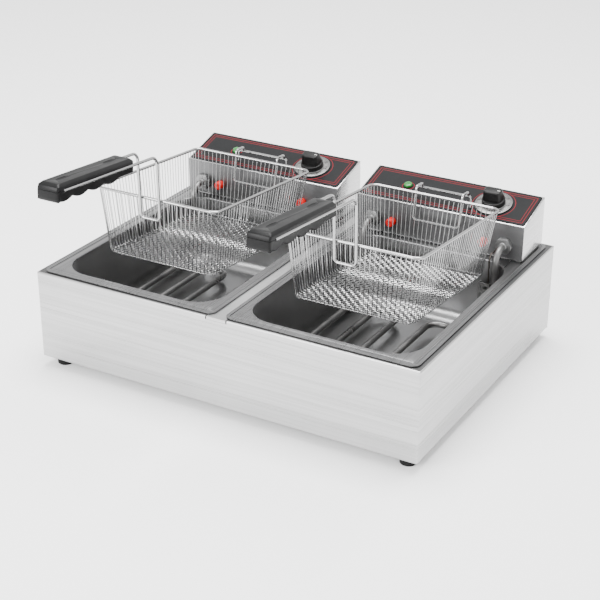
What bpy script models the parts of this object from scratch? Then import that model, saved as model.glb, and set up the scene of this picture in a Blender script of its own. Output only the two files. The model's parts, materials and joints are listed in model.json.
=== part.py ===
"""Countertop electric deep fryer with two tanks, two lift-off control heads and two wire baskets.

Metres, +Z up, the front faces -Y. The origin is on the surface the fryer stands on, under the
middle of its outline. The casing's own frame has its middle at CASING_Y and its underside at
FOOT_HEIGHT. The baskets hang at rest: their hook feet stand on the sloped control panels and
their rear walls lean on the soft buffers of the control heads.
"""

import math

import bmesh
import bpy
from mathutils import Matrix, Vector

OBJECT_NAME = "deep_fryer"
SIDES = {"left": -1, "right": 1}
GAP = 0.0003  # between pieces that touch
MERGE = 0.00001

# casing
CASING_WIDTH = 0.560
CASING_DEPTH = 0.422
CASING_HEIGHT = 0.1247
CASING_SHEET = 0.0012
CASING_LIP = 0.012
RAIL_WIDTH = 0.028
RAIL_NOTCH = 0.004
RAIL_LENGTH = CASING_DEPTH - CASING_SHEET - GAP
VENT_LENGTH = 0.050
VENT_WIDTH = 0.004
VENT_COUNT = 5
VENT_PITCH = 0.012

# feet
FOOT_HEIGHT = 0.014
FOOT_RADIUS = 0.011
FOOT_NECK_RADIUS = 0.004
FOOT_INSET = 0.021

# tanks
UNIT_X = 0.1405  # middle of each tank from the casing's middle
TANK_SHEET = 0.001
FLANGE_WIDTH = 0.265
FLANGE_DEPTH = 0.412
FLANGE_RADIUS = 0.010
FLANGE_TOP = 0.1267
FLANGE_EDGE = 0.0011
OPENING_WIDTH = 0.237
OPENING_FRONT = -0.1915
OPENING_REAR = 0.1200
OPENING_RADIUS = 0.042
TANK_FLOOR = 0.026
TANK_DRAFT = 0.004
TANK_ROUND = 0.018

# control heads
HEAD_WIDTH = 0.2506
HEAD_FRONT = 0.1310
HEAD_REAR = 0.2006
HEAD_BOTTOM = 0.1290
HEAD_FRONT_TOP = 0.1776
HEAD_REAR_TOP = 0.1972
HEAD_SHEET = 0.001
BASE_INSET = 0.0035
PANEL_SLOPE = math.atan2(HEAD_REAR_TOP - HEAD_FRONT_TOP, HEAD_REAR - HEAD_FRONT)
PANEL_LENGTH = math.hypot(HEAD_REAR_TOP - HEAD_FRONT_TOP, HEAD_REAR - HEAD_FRONT)
LABEL_MARGIN = 0.002
LABEL_THICKNESS = 0.0006
LABEL_RADIUS = 0.004

# thermostat, dial and knob, on the panel
KNOB_X = 0.0660
KNOB_UP_SLOPE = 0.0355
KNOB_RADIUS = 0.0155
KNOB_BASE = 0.007
KNOB_HEIGHT = 0.021
KNOB_BAR_WIDTH = 0.012
DIAL_RADIUS = 0.026
DIAL_THICKNESS = 0.0016
SHAFT_RADIUS = 0.003
SHAFT_LENGTH = 0.034
THERMOSTAT_SIZE = (0.036, 0.030, 0.016)

# pilot lamp, on the panel
LAMP_X = -0.0630
LAMP_UP_SLOPE = 0.0370
LAMP_RADIUS = 0.0062
LAMP_NECK_RADIUS = 0.0046

# heating element
TUBE_RADIUS = 0.0045
LEG_X = 0.0985
NUT_Z = 0.1470
NUT_ACROSS = 0.022
NUT_THICKNESS = 0.006
DROP_Y = 0.1020
RUN_Z = 0.0380
RUN_X = (LEG_X, 0.0600, 0.0220)
RUN_REAR = 0.0730
RUN_FRONT = -0.1650

# thermostat probe and its guard, beside the right leg of the element
CAPILLARY_RADIUS = 0.0012
PROBE_RADIUS = 0.003
PROBE_X = 0.0865
PROBE_Y = 0.1105
PROBE_Z = 0.0520
GUARD_SIZE = (0.016, 0.008, 0.042)
GUARD_PLACE = (0.0830, 0.1080, 0.0770)

# soft buffers on the head's front wall
BUFFER_X = 0.0690
BUFFER_Z = 0.1470
BUFFER_RADIUS = 0.0060
BUFFER_REACH = 0.0105

# wiring pieces at the head's rear
GLAND_RADIUS = 0.0085
GLAND_REACH = 0.016
GLAND_Z = 0.1600
GLAND_X = -0.0800

# baskets: the basket frame's origin is the middle of the rim, its Z leaves the rim plane upwards
BASKET_SHIFT = {"left": -0.0074, "right": -0.0009}  # from the middle of its tank
BASKET_Y = -0.0006
BASKET_Z = 0.2113
BASKET_TILT = math.radians(5.2)
RIM_LENGTH = 0.2455
RIM_WIDTH = 0.1890
RIM_RADIUS = 0.012
RIM_WIRE = 0.0020
BASKET_DEPTH = 0.0920
BASKET_DRAFT = 0.0104
BASKET_ROUND = 0.006
MESH_THICKNESS = 0.0008

HANDLE_X = -0.0050
HANDLE_WIRE = 0.0020
HANDLE_SPREAD = 0.0300
HANDLE_LEVEL = 0.0620
HANDLE_BOTTOM = -0.0270
HANDLE_STANDOFF = 0.0046
HANDLE_BEND = 0.012
HANDLE_FOOT_BEND = 0.006

GRIP_FRONT = -0.3360
GRIP_REAR = -0.1840
GRIP_WIDTH = 0.0310
GRIP_TOP = 0.0090
GRIP_BOTTOM = 0.0140
GRIP_ROUND = 0.0025
LOBE_PITCH = 0.0305
LOBE_RISE = 0.0040
LOBE_COUNT = 4

HOOK_X = 0.0030
HOOK_SPREAD = 0.0680
HOOK_WIRE = 0.0018
HOOK_BOTTOM = -0.0380
HOOK_TOP = 0.0075
HOOK_BAR_X = 0.0010
HOOK_BAR_Y = 0.1480
HOOK_BAR_Z = 0.0015
HOOK_BAR_LENGTH = 0.0800

# the casing's middle, from the middle of the whole outline between grip ends and glands
OUTLINE_FRONT = (
    BASKET_Y
    + GRIP_FRONT * math.cos(BASKET_TILT)
    + (HANDLE_LEVEL - 0.55 * GRIP_BOTTOM) * math.sin(BASKET_TILT)
)
CASING_Y = -(OUTLINE_FRONT + HEAD_REAR + GLAND_REACH) / 2

PALETTE = {
    "brushed_steel": ((0.72, 0.72, 0.72), 1.0, 0.32),
    "tank_steel": ((0.42, 0.42, 0.42), 1.0, 0.28),
    "head_steel": ((0.66, 0.66, 0.66), 1.0, 0.22),
    "label_film": ((0.07, 0.07, 0.075), 0.0, 0.35),
    "dial_silver": ((0.75, 0.75, 0.73), 1.0, 0.30),
    "black_plastic": ((0.012, 0.012, 0.012), 0.0, 0.40),
    "grip_plastic": ((0.030, 0.030, 0.032), 0.0, 0.50),
    "lens_green": ((0.02, 0.35, 0.06), 0.0, 0.12),
    "element_steel": ((0.36, 0.35, 0.34), 1.0, 0.40),
    "wire_steel": ((0.80, 0.80, 0.80), 1.0, 0.18),
    "buffer_rubber": ((0.65, 0.03, 0.03), 0.0, 0.55),
    "foot_rubber": ((0.015, 0.015, 0.015), 0.0, 0.80),
    "terminal_ceramic": ((0.80, 0.77, 0.70), 0.0, 0.50),
    "probe_copper": ((0.75, 0.42, 0.28), 1.0, 0.30),
}


def clear_scene():
    for obj in list(bpy.data.objects):
        bpy.data.objects.remove(obj, do_unlink=True)


def make_collection(name):
    collection = bpy.data.collections.new(name)
    bpy.context.scene.collection.children.link(collection)
    return collection


def make_material(name):
    colour, metallic, roughness = PALETTE[name]
    material = bpy.data.materials.new(name)
    material.use_nodes = True
    shader = material.node_tree.nodes["Principled BSDF"]
    shader.inputs["Base Color"].default_value = (*colour, 1.0)
    shader.inputs["Metallic"].default_value = metallic
    shader.inputs["Roughness"].default_value = roughness
    return material


def smooth_shading(mesh):
    mesh.shade_smooth()
    mesh.set_sharp_from_angle(angle=math.radians(35))


class Workshop:
    """Holds the collections and materials, and makes each object in the right place."""

    def __init__(self):
        self.parts = make_collection(OBJECT_NAME)
        self.cutters = make_collection(OBJECT_NAME + "_cutters")
        self.materials = {name: make_material(name) for name in PALETTE}

    def frame(self, name, parent=None, location=(0, 0, 0), tilt=0.0):
        """An empty that carries the pieces of one sub-assembly; tilt turns it about X."""
        empty = bpy.data.objects.new(name, None)
        empty.empty_display_size = 0.02
        empty.location = location
        empty.rotation_euler = (tilt, 0.0, 0.0)
        empty.parent = parent
        self.parts.objects.link(empty)
        return empty

    def part(self, name, data, material, parent, location=(0, 0, 0), turn=(0, 0, 0)):
        obj = bpy.data.objects.new(name, data)
        data.materials.clear()
        data.materials.append(self.materials[material])
        obj.location = location
        obj.rotation_euler = turn
        obj.parent = parent
        self.parts.objects.link(obj)
        return obj

    def cutter(self, name, mesh, parent, location=(0, 0, 0), turn=(0, 0, 0)):
        obj = bpy.data.objects.new(name, mesh)
        obj.location = location
        obj.rotation_euler = turn
        obj.parent = parent
        obj.hide_render = True
        obj.display_type = "WIRE"
        self.cutters.objects.link(obj)
        return obj


def finish_mesh(name, bm, smooth=True):
    bmesh.ops.recalc_face_normals(bm, faces=bm.faces)
    mesh = bpy.data.meshes.new(name)
    bm.to_mesh(mesh)
    bm.free()
    if smooth:
        smooth_shading(mesh)
    return mesh


def box_mesh(name, size, centre=(0, 0, 0)):
    bm = bmesh.new()
    bmesh.ops.create_cube(bm, size=1.0)
    bmesh.ops.scale(bm, vec=size, verts=bm.verts)
    bmesh.ops.translate(bm, vec=centre, verts=bm.verts)
    return finish_mesh(name, bm, smooth=False)


def cylinder_mesh(name, radius, length, segments=24, centre=(0, 0, 0), axis="Z"):
    bm = bmesh.new()
    bmesh.ops.create_cone(
        bm, cap_ends=True, segments=segments, radius1=radius, radius2=radius, depth=length
    )
    turns = {"X": Matrix.Rotation(math.pi / 2, 4, "Y"), "Y": Matrix.Rotation(math.pi / 2, 4, "X")}
    if axis in turns:
        bmesh.ops.transform(bm, matrix=turns[axis], verts=bm.verts)
    bmesh.ops.translate(bm, vec=centre, verts=bm.verts)
    return finish_mesh(name, bm)


def turned_mesh(name, profile):
    """A profile of (radius, height) points, listed down the outer side, as an edge chain."""
    bm = bmesh.new()
    points = [bm.verts.new((radius, 0.0, height)) for radius, height in profile]
    for first, second in zip(points, points[1:]):
        bm.edges.new((first, second))
    mesh = bpy.data.meshes.new(name)
    bm.to_mesh(mesh)
    bm.free()
    return mesh


def add_screw(obj, steps=24):
    screw = obj.modifiers.new("Turn", "SCREW")
    screw.axis = "Z"
    screw.angle = math.tau
    screw.steps = steps
    screw.render_steps = steps
    screw.use_merge_vertices = True
    screw.merge_threshold = MERGE
    screw.use_smooth_shade = True
    return screw


def add_solidify(obj, thickness, offset=-1.0):
    solidify = obj.modifiers.new("Sheet", "SOLIDIFY")
    solidify.thickness = thickness
    solidify.offset = offset
    return solidify


def combine(obj, other, operation="DIFFERENCE"):
    boolean = obj.modifiers.new(operation.title(), "BOOLEAN")
    boolean.operation = operation
    boolean.solver = "EXACT"
    boolean.object = other
    return boolean


def rounded_path(corners, radii, steps=4, cyclic=False):
    """The corners as points, each inner corner replaced by an arc of one radius, or of its own."""
    if not isinstance(radii, (list, tuple)):
        radii = [radii] * len(corners)
    corners = [Vector(corner) for corner in corners]
    count = len(corners)
    path = []
    for index, corner in enumerate(corners):
        if not cyclic and index in (0, count - 1):
            path.append(corner)
            continue
        before = (corners[index - 1] - corner).normalized()
        after = (corners[(index + 1) % count] - corner).normalized()
        half = before.angle(after) / 2
        reach = radii[index] / math.tan(half)
        centre = corner + (before + after).normalized() * (radii[index] / math.sin(half))
        start = corner + before * reach - centre
        end = corner + after * reach - centre
        turn = start.rotation_difference(end)
        for step in range(steps + 1):
            part = turn.copy()
            part.identity()
            path.append(centre + part.slerp(turn, step / steps) @ start)
    return path


def wire_curve(name, path, radius, cyclic=False, resolution=2, weights=None):
    curve = bpy.data.curves.new(name, "CURVE")
    curve.dimensions = "3D"
    curve.bevel_depth = radius
    curve.bevel_resolution = resolution
    curve.use_fill_caps = not cyclic
    spline = curve.splines.new("POLY")
    spline.points.add(len(path) - 1)
    spline.use_cyclic_u = cyclic
    for index, (point, place) in enumerate(zip(spline.points, path)):
        point.co = (*place, 1.0)
        point.radius = weights[index] if weights else 1.0
    return curve


def wire_mesh(name, path, radius, cyclic=False):
    """A wire as a closed mesh, for pieces that a Boolean cuts or joins."""
    curve = wire_curve(name, path, radius, cyclic)
    guide = bpy.data.objects.new(name, curve)
    bpy.context.scene.collection.objects.link(guide)
    graph = bpy.context.evaluated_depsgraph_get()
    mesh = bpy.data.meshes.new_from_object(guide.evaluated_get(graph))
    bpy.data.objects.remove(guide, do_unlink=True)
    bm = bmesh.new()
    bm.from_mesh(mesh)
    bmesh.ops.remove_doubles(bm, verts=bm.verts, dist=MERGE)
    bmesh.ops.recalc_face_normals(bm, faces=bm.faces)
    bm.to_mesh(mesh)
    bm.free()
    return mesh


def rounded_rectangle(low, high, radius, height, steps=5):
    """Corner points of a rounded rectangle in the plane at this height, anticlockwise."""
    corners = (
        ((high[0] - radius, low[1] + radius), -90),
        ((high[0] - radius, high[1] - radius), 0),
        ((low[0] + radius, high[1] - radius), 90),
        ((low[0] + radius, low[1] + radius), 180),
    )
    ring = []
    for (x, y), start in corners:
        for step in range(steps + 1):
            angle = math.radians(start + 90 * step / steps)
            ring.append((x + radius * math.cos(angle), y + radius * math.sin(angle), height))
    return ring


def lofted_mesh(name, rings, fill_last=True):
    """A surface through rings of equal point counts, the last one closed by a face."""
    bm = bmesh.new()
    loops = [[bm.verts.new(point) for point in ring] for ring in rings]
    for lower, upper in zip(loops, loops[1:]):
        for index in range(len(lower)):
            after = (index + 1) % len(lower)
            bm.faces.new((lower[index], lower[after], upper[after], upper[index]))
    if fill_last:
        bm.faces.new(loops[-1])
    bmesh.ops.remove_doubles(bm, verts=bm.verts, dist=MERGE)
    mesh = bpy.data.meshes.new(name)
    bm.to_mesh(mesh)
    bm.free()
    smooth_shading(mesh)
    return mesh


def plate_mesh(name, outline, thickness):
    """A plate of this outline in the XY plane, its thickness centred on the plane."""
    bm = bmesh.new()
    corners = [bm.verts.new((point[0], point[1], -thickness / 2)) for point in outline]
    face = bm.faces.new(corners)
    raised = bmesh.ops.extrude_face_region(bm, geom=[face])["geom"]
    top = [item for item in raised if isinstance(item, bmesh.types.BMVert)]
    bmesh.ops.translate(bm, vec=(0, 0, thickness), verts=top)
    return finish_mesh(name, bm)


# casing -------------------------------------------------------------------------------------


def folded_casing_mesh():
    """Front and side walls with top and bottom lips folded inwards, open at the rear."""
    rear_trim = CASING_SHEET + GAP
    size = (CASING_WIDTH, CASING_DEPTH - rear_trim, CASING_HEIGHT)
    bm = bmesh.new()
    bmesh.ops.create_cube(bm, size=1.0)
    bmesh.ops.scale(bm, vec=size, verts=bm.verts)
    bmesh.ops.translate(bm, vec=(0, -rear_trim / 2, CASING_HEIGHT / 2), verts=bm.verts)
    level = [face for face in bm.faces if abs(face.normal.z) > 0.5]
    rear = [face for face in bm.faces if face.normal.y > 0.5]
    for face in level:
        bmesh.ops.inset_region(bm, faces=[face], thickness=CASING_LIP)
    rear_edge = CASING_DEPTH / 2 - rear_trim
    rear_strips = [
        face
        for face in bm.faces
        if abs(face.normal.z) > 0.5 and face.calc_center_median().y > rear_edge - CASING_LIP
    ]
    bmesh.ops.delete(bm, geom=level + rear + rear_strips, context="FACES")
    for vert in bm.verts:
        if abs(vert.co.y - (rear_edge - CASING_LIP)) < MERGE:
            vert.co.y = rear_edge
    mesh = bpy.data.meshes.new("casing_body")
    bm.to_mesh(mesh)
    bm.free()
    return mesh


def build_casing(shop, frame):
    body = shop.part("casing_body", folded_casing_mesh(), "brushed_steel", frame)
    solidify = add_solidify(body, CASING_SHEET)
    solidify.use_even_offset = True
    notch = box_mesh(
        "rail_notch",
        (RAIL_WIDTH + 2 * GAP, 4 * CASING_LIP, 2 * (RAIL_NOTCH + GAP)),
        (0, -CASING_DEPTH / 2, CASING_HEIGHT),
    )
    combine(body, shop.cutter("rail_notch", notch, frame))
    build_back(shop, frame)
    build_base(shop, frame)
    build_rail(shop, frame)


def vent_cutters(shop, name, frame, centre, across, through):
    """A row of ventilation slots: across is the axis the row runs on, through the one it pierces."""
    meshes = []
    for index in range(VENT_COUNT):
        offset = (index - (VENT_COUNT - 1) / 2) * VENT_PITCH
        size = {"X": VENT_LENGTH, "Y": VENT_LENGTH, "Z": VENT_LENGTH}
        size[across] = VENT_WIDTH
        size[through] = 6 * CASING_SHEET
        place = Vector(centre)
        place["XYZ".index(across)] += offset
        mesh = box_mesh(name, (size["X"], size["Y"], size["Z"]), place)
        meshes.append(shop.cutter(f"{name}_{index + 1}", mesh, frame))
    return meshes


def build_back(shop, frame):
    height = CASING_HEIGHT
    bm = bmesh.new()
    bmesh.ops.create_grid(bm, x_segments=1, y_segments=1, size=0.5)
    bmesh.ops.scale(bm, vec=(CASING_WIDTH, height, 1), verts=bm.verts)
    bmesh.ops.rotate(bm, matrix=Matrix.Rotation(math.pi / 2, 3, "X"), verts=bm.verts)
    bmesh.ops.translate(bm, vec=(0, CASING_DEPTH / 2, height / 2), verts=bm.verts)
    mesh = bpy.data.meshes.new("casing_back")
    bm.to_mesh(mesh)
    bm.free()
    back = shop.part("casing_back", mesh, "brushed_steel", frame)
    add_solidify(back, CASING_SHEET, offset=1.0)
    lip_width = CASING_WIDTH - 2 * (CASING_LIP + CASING_SHEET)
    lip = box_mesh(
        "back_lip",
        (lip_width, CASING_LIP, CASING_SHEET),
        (0, CASING_DEPTH / 2 - CASING_LIP / 2 - CASING_SHEET / 2, height - CASING_SHEET / 2 - GAP),
    )
    combine(back, shop.cutter("back_lip", lip, frame), "UNION")
    for side, sign in SIDES.items():
        centre = (sign * UNIT_X, CASING_DEPTH / 2, 0.45 * height)
        for cutter in vent_cutters(shop, f"{side}_rear_vent", frame, centre, "Z", "Y"):
            combine(back, cutter)


def build_base(shop, frame):
    clear = CASING_SHEET + GAP
    side_clear = CASING_SHEET + 0.001
    size = (
        CASING_WIDTH - 2 * side_clear,
        CASING_DEPTH - 2 * side_clear - CASING_SHEET,
        CASING_SHEET,
    )
    centre = (0, -CASING_SHEET / 2, clear + CASING_SHEET / 2)
    base = shop.part("casing_base", box_mesh("casing_base", size, centre), "brushed_steel", frame)
    for name, place in foot_places().items():
        hole = cylinder_mesh(
            name + "_hole", FOOT_NECK_RADIUS + GAP, 0.02, 24, (place[0], place[1], 0)
        )
        combine(base, shop.cutter(name + "_hole", hole, frame))
    for side, sign in SIDES.items():
        middle = (sign * UNIT_X, 0, clear)
        for cutter in vent_cutters(shop, f"{side}_base_vent", frame, middle, "Y", "Z"):
            combine(base, cutter)


def build_rail(shop, frame):
    """The bar between the tanks: a capped channel whose front tab closes the casing's notch."""
    plate = box_mesh(
        "centre_rail",
        (RAIL_WIDTH, RAIL_LENGTH, CASING_SHEET),
        (0, -(CASING_SHEET + GAP) / 2, CASING_HEIGHT - CASING_SHEET / 2),
    )
    bm = bmesh.new()
    bm.from_mesh(plate)
    cut = CASING_DEPTH / 2 - CASING_SHEET - CASING_LIP - 2 * GAP
    for vert in bm.verts:
        if vert.co.y > 0:
            vert.co.y = cut
    bm.to_mesh(plate)
    bm.free()
    rail = shop.part("centre_rail", plate, "brushed_steel", frame)
    channel_width = RAIL_WIDTH - 0.004
    channel_length = CASING_DEPTH - 2 * (CASING_SHEET + CASING_LIP + 4 * GAP)
    channel = box_mesh(
        "rail_channel",
        (channel_width, channel_length, 0.016),
        (0, 0, CASING_HEIGHT - CASING_SHEET / 2 - 0.008),
    )
    combine(rail, shop.cutter("rail_channel", channel, frame), "UNION")
    hollow = box_mesh(
        "rail_hollow",
        (channel_width - 2 * CASING_SHEET, CASING_DEPTH, 0.020),
        (0, 0, CASING_HEIGHT - CASING_SHEET - 0.010),
    )
    combine(rail, shop.cutter("rail_hollow", hollow, frame))
    tab = box_mesh(
        "rail_tab",
        (RAIL_WIDTH, CASING_SHEET, RAIL_NOTCH),
        (0, -CASING_DEPTH / 2 + CASING_SHEET / 2, CASING_HEIGHT - RAIL_NOTCH / 2),
    )
    combine(rail, shop.cutter("rail_tab", tab, frame), "UNION")


def foot_places():
    x = CASING_WIDTH / 2 - FOOT_INSET
    y = CASING_DEPTH / 2 - FOOT_INSET
    return {
        "foot_front_left": (-x, -y),
        "foot_front_right": (x, -y),
        "foot_rear_left": (-x, y),
        "foot_rear_right": (x, y),
    }


def build_feet(shop, frame):
    """Push-in rubber feet: a domed body, a neck through the base plate and a retaining bead."""
    top = 2 * (CASING_SHEET + GAP) + 0.0002
    profile = [
        (0.0, top + 0.004),
        (FOOT_NECK_RADIUS, top + 0.004),
        (FOOT_NECK_RADIUS + 0.002, top),
        (FOOT_NECK_RADIUS, top),
        (FOOT_NECK_RADIUS, -GAP),
        (FOOT_RADIUS, -GAP),
        (FOOT_RADIUS, -FOOT_HEIGHT + 0.002),
        (FOOT_RADIUS - 0.002, -FOOT_HEIGHT),
        (0.0, -FOOT_HEIGHT),
    ]
    mesh = turned_mesh("foot", profile)
    for name, (x, y) in foot_places().items():
        foot = shop.part(name, mesh.copy(), "foot_rubber", frame, (x, y, 0))
        add_screw(foot, 16)


# tanks --------------------------------------------------------------------------------------


def tank_rings():
    half = FLANGE_WIDTH / 2
    opening = OPENING_WIDTH / 2
    flange = ((-half, -FLANGE_DEPTH / 2), (half, FLANGE_DEPTH / 2))

    def outline(inset, height, radius):
        low = (-opening + inset, OPENING_FRONT + inset)
        high = (opening - inset, OPENING_REAR - inset)
        return rounded_rectangle(low, high, radius, height)

    rings = [
        rounded_rectangle(*flange, FLANGE_RADIUS, FLANGE_TOP - FLANGE_EDGE),
        rounded_rectangle(*flange, FLANGE_RADIUS, FLANGE_TOP),
        outline(-0.003, FLANGE_TOP, OPENING_RADIUS + 0.003),
        outline(-0.0009, FLANGE_TOP - 0.0009, OPENING_RADIUS + 0.0009),
        outline(0, FLANGE_TOP - 0.003, OPENING_RADIUS),
    ]
    for step in range(4):
        angle = math.radians(30 * step)
        inset = TANK_DRAFT + TANK_ROUND * (1 - math.cos(angle))
        height = TANK_FLOOR + TANK_ROUND * (1 - math.sin(angle))
        rings.append(outline(inset, height, OPENING_RADIUS - inset))
    return rings


def build_tank(shop, side, unit):
    tank = shop.part(f"{side}_tank", lofted_mesh("tank", tank_rings()), "tank_steel", unit)
    add_solidify(tank, TANK_SHEET)


# control heads ------------------------------------------------------------------------------


def head_shell_mesh():
    """A box open below, with the lid sloping up to the rear."""
    bm = bmesh.new()
    bmesh.ops.create_cube(bm, size=1.0)
    depth = HEAD_REAR - HEAD_FRONT
    bmesh.ops.scale(bm, vec=(HEAD_WIDTH, depth, 1), verts=bm.verts)
    for vert in bm.verts:
        rear = vert.co.y > 0
        top = HEAD_REAR_TOP if rear else HEAD_FRONT_TOP
        vert.co.z = top if vert.co.z > 0 else HEAD_BOTTOM
        vert.co.y = HEAD_REAR if rear else HEAD_FRONT
    floor = [face for face in bm.faces if face.normal.z < -0.9]
    bmesh.ops.delete(bm, geom=floor, context="FACES_ONLY")
    mesh = bpy.data.meshes.new("head_shell")
    bm.to_mesh(mesh)
    bm.free()
    return mesh


def build_head(shop, side, unit, panel):
    shell = shop.part(f"{side}_head_shell", head_shell_mesh(), "head_steel", unit)
    solidify = add_solidify(shell, HEAD_SHEET)
    solidify.use_even_offset = True
    for index, sign in enumerate((-1, 1)):
        hole = cylinder_mesh("leg_hole", TUBE_RADIUS + 2 * GAP, 0.02, 16, axis="Y")
        place = (sign * LEG_X, HEAD_FRONT, NUT_Z)
        combine(shell, shop.cutter(f"{side}_leg_hole_{index + 1}", hole, unit, place))
        stem = cylinder_mesh("stem_hole", 0.0025 + GAP, 0.02, 16, axis="Y")
        place = (sign * BUFFER_X, HEAD_FRONT, BUFFER_Z)
        combine(shell, shop.cutter(f"{side}_stem_hole_{index + 1}", stem, unit, place))
    probe = cylinder_mesh("probe_hole", CAPILLARY_RADIUS + 2 * GAP, 0.02, 12, axis="Y")
    place = (PROBE_X, HEAD_FRONT, NUT_Z - 0.010)
    combine(shell, shop.cutter(f"{side}_probe_hole", probe, unit, place))
    gland = cylinder_mesh("gland_hole", GLAND_RADIUS - 0.002 + GAP, 0.02, 24, axis="Y")
    place = (GLAND_X, HEAD_REAR, GLAND_Z)
    combine(shell, shop.cutter(f"{side}_gland_hole", gland, unit, place))
    shaft = cylinder_mesh("shaft_hole", SHAFT_RADIUS + 0.001, 0.01, 20)
    shaft_cutter = shop.cutter(f"{side}_shaft_hole", shaft, panel, (KNOB_X, KNOB_UP_SLOPE, 0))
    lamp = cylinder_mesh("lamp_hole", LAMP_NECK_RADIUS + GAP, 0.01, 20)
    lamp_cutter = shop.cutter(f"{side}_lamp_hole", lamp, panel, (LAMP_X, LAMP_UP_SLOPE, 0))
    combine(shell, shaft_cutter)
    combine(shell, lamp_cutter)
    build_head_base(shop, side, unit)
    build_label(shop, side, panel, (shaft_cutter, lamp_cutter))


def build_head_base(shop, side, unit):
    """A tray that closes the head from below and stands on the tank's rear flange."""
    bm = bmesh.new()
    bmesh.ops.create_cube(bm, size=1.0)
    inset = HEAD_SHEET + GAP
    width = HEAD_WIDTH - 2 * BASE_INSET
    depth = HEAD_REAR - HEAD_FRONT - 2 * BASE_INSET
    low = FLANGE_TOP + GAP
    high = HEAD_BOTTOM + 0.005
    bmesh.ops.scale(bm, vec=(width, depth, high - low), verts=bm.verts)
    middle = ((HEAD_REAR + HEAD_FRONT) / 2, (high + low) / 2)
    bmesh.ops.translate(bm, vec=(0, *middle), verts=bm.verts)
    lid = [face for face in bm.faces if face.normal.z > 0.9]
    bmesh.ops.delete(bm, geom=lid, context="FACES_ONLY")
    mesh = bpy.data.meshes.new("head_base")
    bm.to_mesh(mesh)
    bm.free()
    base = shop.part(f"{side}_head_base", mesh, "head_steel", unit)
    solidify = add_solidify(base, inset)
    solidify.use_even_offset = True


def build_label(shop, side, panel, holes):
    half = HEAD_WIDTH / 2 - LABEL_MARGIN
    outline = rounded_rectangle(
        (-half, LABEL_MARGIN), (half, PANEL_LENGTH - LABEL_MARGIN), LABEL_RADIUS, 0, 3
    )
    mesh = plate_mesh("control_label", outline, LABEL_THICKNESS)
    place = (0, 0, GAP + LABEL_THICKNESS / 2)
    label = shop.part(f"{side}_control_label", mesh, "label_film", panel, place)
    for hole in holes:
        combine(label, hole)


LABEL_TOP = GAP + LABEL_THICKNESS


def build_knob(shop, side, panel):
    """Dial skirt, knob and shaft turn together about the panel's normal."""
    axis = shop.frame(f"{side}_knob_axis", panel, (KNOB_X, KNOB_UP_SLOPE, 0))
    skirt_low = LABEL_TOP + GAP
    skirt_high = skirt_low + DIAL_THICKNESS
    bore = SHAFT_RADIUS + GAP
    skirt_profile = [
        (bore, skirt_high),
        (DIAL_RADIUS - 0.0022, skirt_high),
        (DIAL_RADIUS - 0.0014, skirt_high + 0.0008),
        (DIAL_RADIUS - 0.0004, skirt_high + 0.0008),
        (DIAL_RADIUS, skirt_high),
        (DIAL_RADIUS, skirt_low),
        (bore, skirt_low),
        (bore, skirt_high),
    ]
    skirt = shop.part(f"{side}_dial_skirt", turned_mesh("dial_skirt", skirt_profile), "dial_silver", axis)
    add_screw(skirt, 32)
    low = skirt_high + GAP
    knob_profile = [
        (0.0, low + KNOB_BASE),
        (KNOB_RADIUS - 0.001, low + KNOB_BASE),
        (KNOB_RADIUS, low + KNOB_BASE - 0.001),
        (KNOB_RADIUS + 0.0008, low),
        (0.0, low),
    ]
    knob = shop.part(f"{side}_knob", turned_mesh("knob", knob_profile), "black_plastic", axis)
    add_screw(knob, 24)
    bar = cylinder_mesh("knob_bar", KNOB_RADIUS - 0.0015, KNOB_HEIGHT - 0.002, 24)
    bar_object = shop.cutter(f"{side}_knob_bar", bar, axis, (0, 0, low + KNOB_HEIGHT / 2 + 0.001))
    slab = box_mesh("knob_slab", (3 * KNOB_RADIUS, KNOB_BAR_WIDTH, 2 * KNOB_HEIGHT))
    slab_object = shop.cutter(f"{side}_knob_slab", slab, axis, (0, 0, low + KNOB_HEIGHT / 2))
    combine(bar_object, slab_object, "INTERSECT")
    combine(knob, bar_object, "UNION")
    bore_mesh = cylinder_mesh("knob_bore", bore, 0.024, 20, (0, 0, low))
    combine(knob, shop.cutter(f"{side}_knob_bore", bore_mesh, axis))
    shaft_top = low + 0.011
    middle = (0, 0, shaft_top - SHAFT_LENGTH / 2)
    shaft = cylinder_mesh("thermostat_shaft", SHAFT_RADIUS, SHAFT_LENGTH, 20, middle)
    shop.part(f"{side}_thermostat_shaft", shaft, "element_steel", axis)
    build_thermostat(shop, side, panel, shaft_top - SHAFT_LENGTH)


def build_thermostat(shop, side, panel, shaft_end):
    """The thermostat's body under the panel, with a bushing round the shaft."""
    top = -HEAD_SHEET - GAP
    length, depth, height = THERMOSTAT_SIZE
    bushing = 0.008
    middle = (KNOB_X, KNOB_UP_SLOPE, top - bushing - height / 2)
    mesh = box_mesh("thermostat_body", THERMOSTAT_SIZE)
    body = shop.part(f"{side}_thermostat_body", mesh, "terminal_ceramic", panel, middle)
    collar = cylinder_mesh("bushing", 0.0058, bushing + 0.002, 20)
    place = (KNOB_X, KNOB_UP_SLOPE, top - bushing / 2 - 0.001)
    combine(body, shop.cutter(f"{side}_bushing", collar, panel, place), "UNION")
    reach = top - shaft_end + 2 * GAP
    bore = cylinder_mesh("thermostat_bore", SHAFT_RADIUS + GAP, reach + 0.01, 20)
    place = (KNOB_X, KNOB_UP_SLOPE, top - reach / 2 + 0.005)
    combine(body, shop.cutter(f"{side}_thermostat_bore", bore, panel, place))


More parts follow.
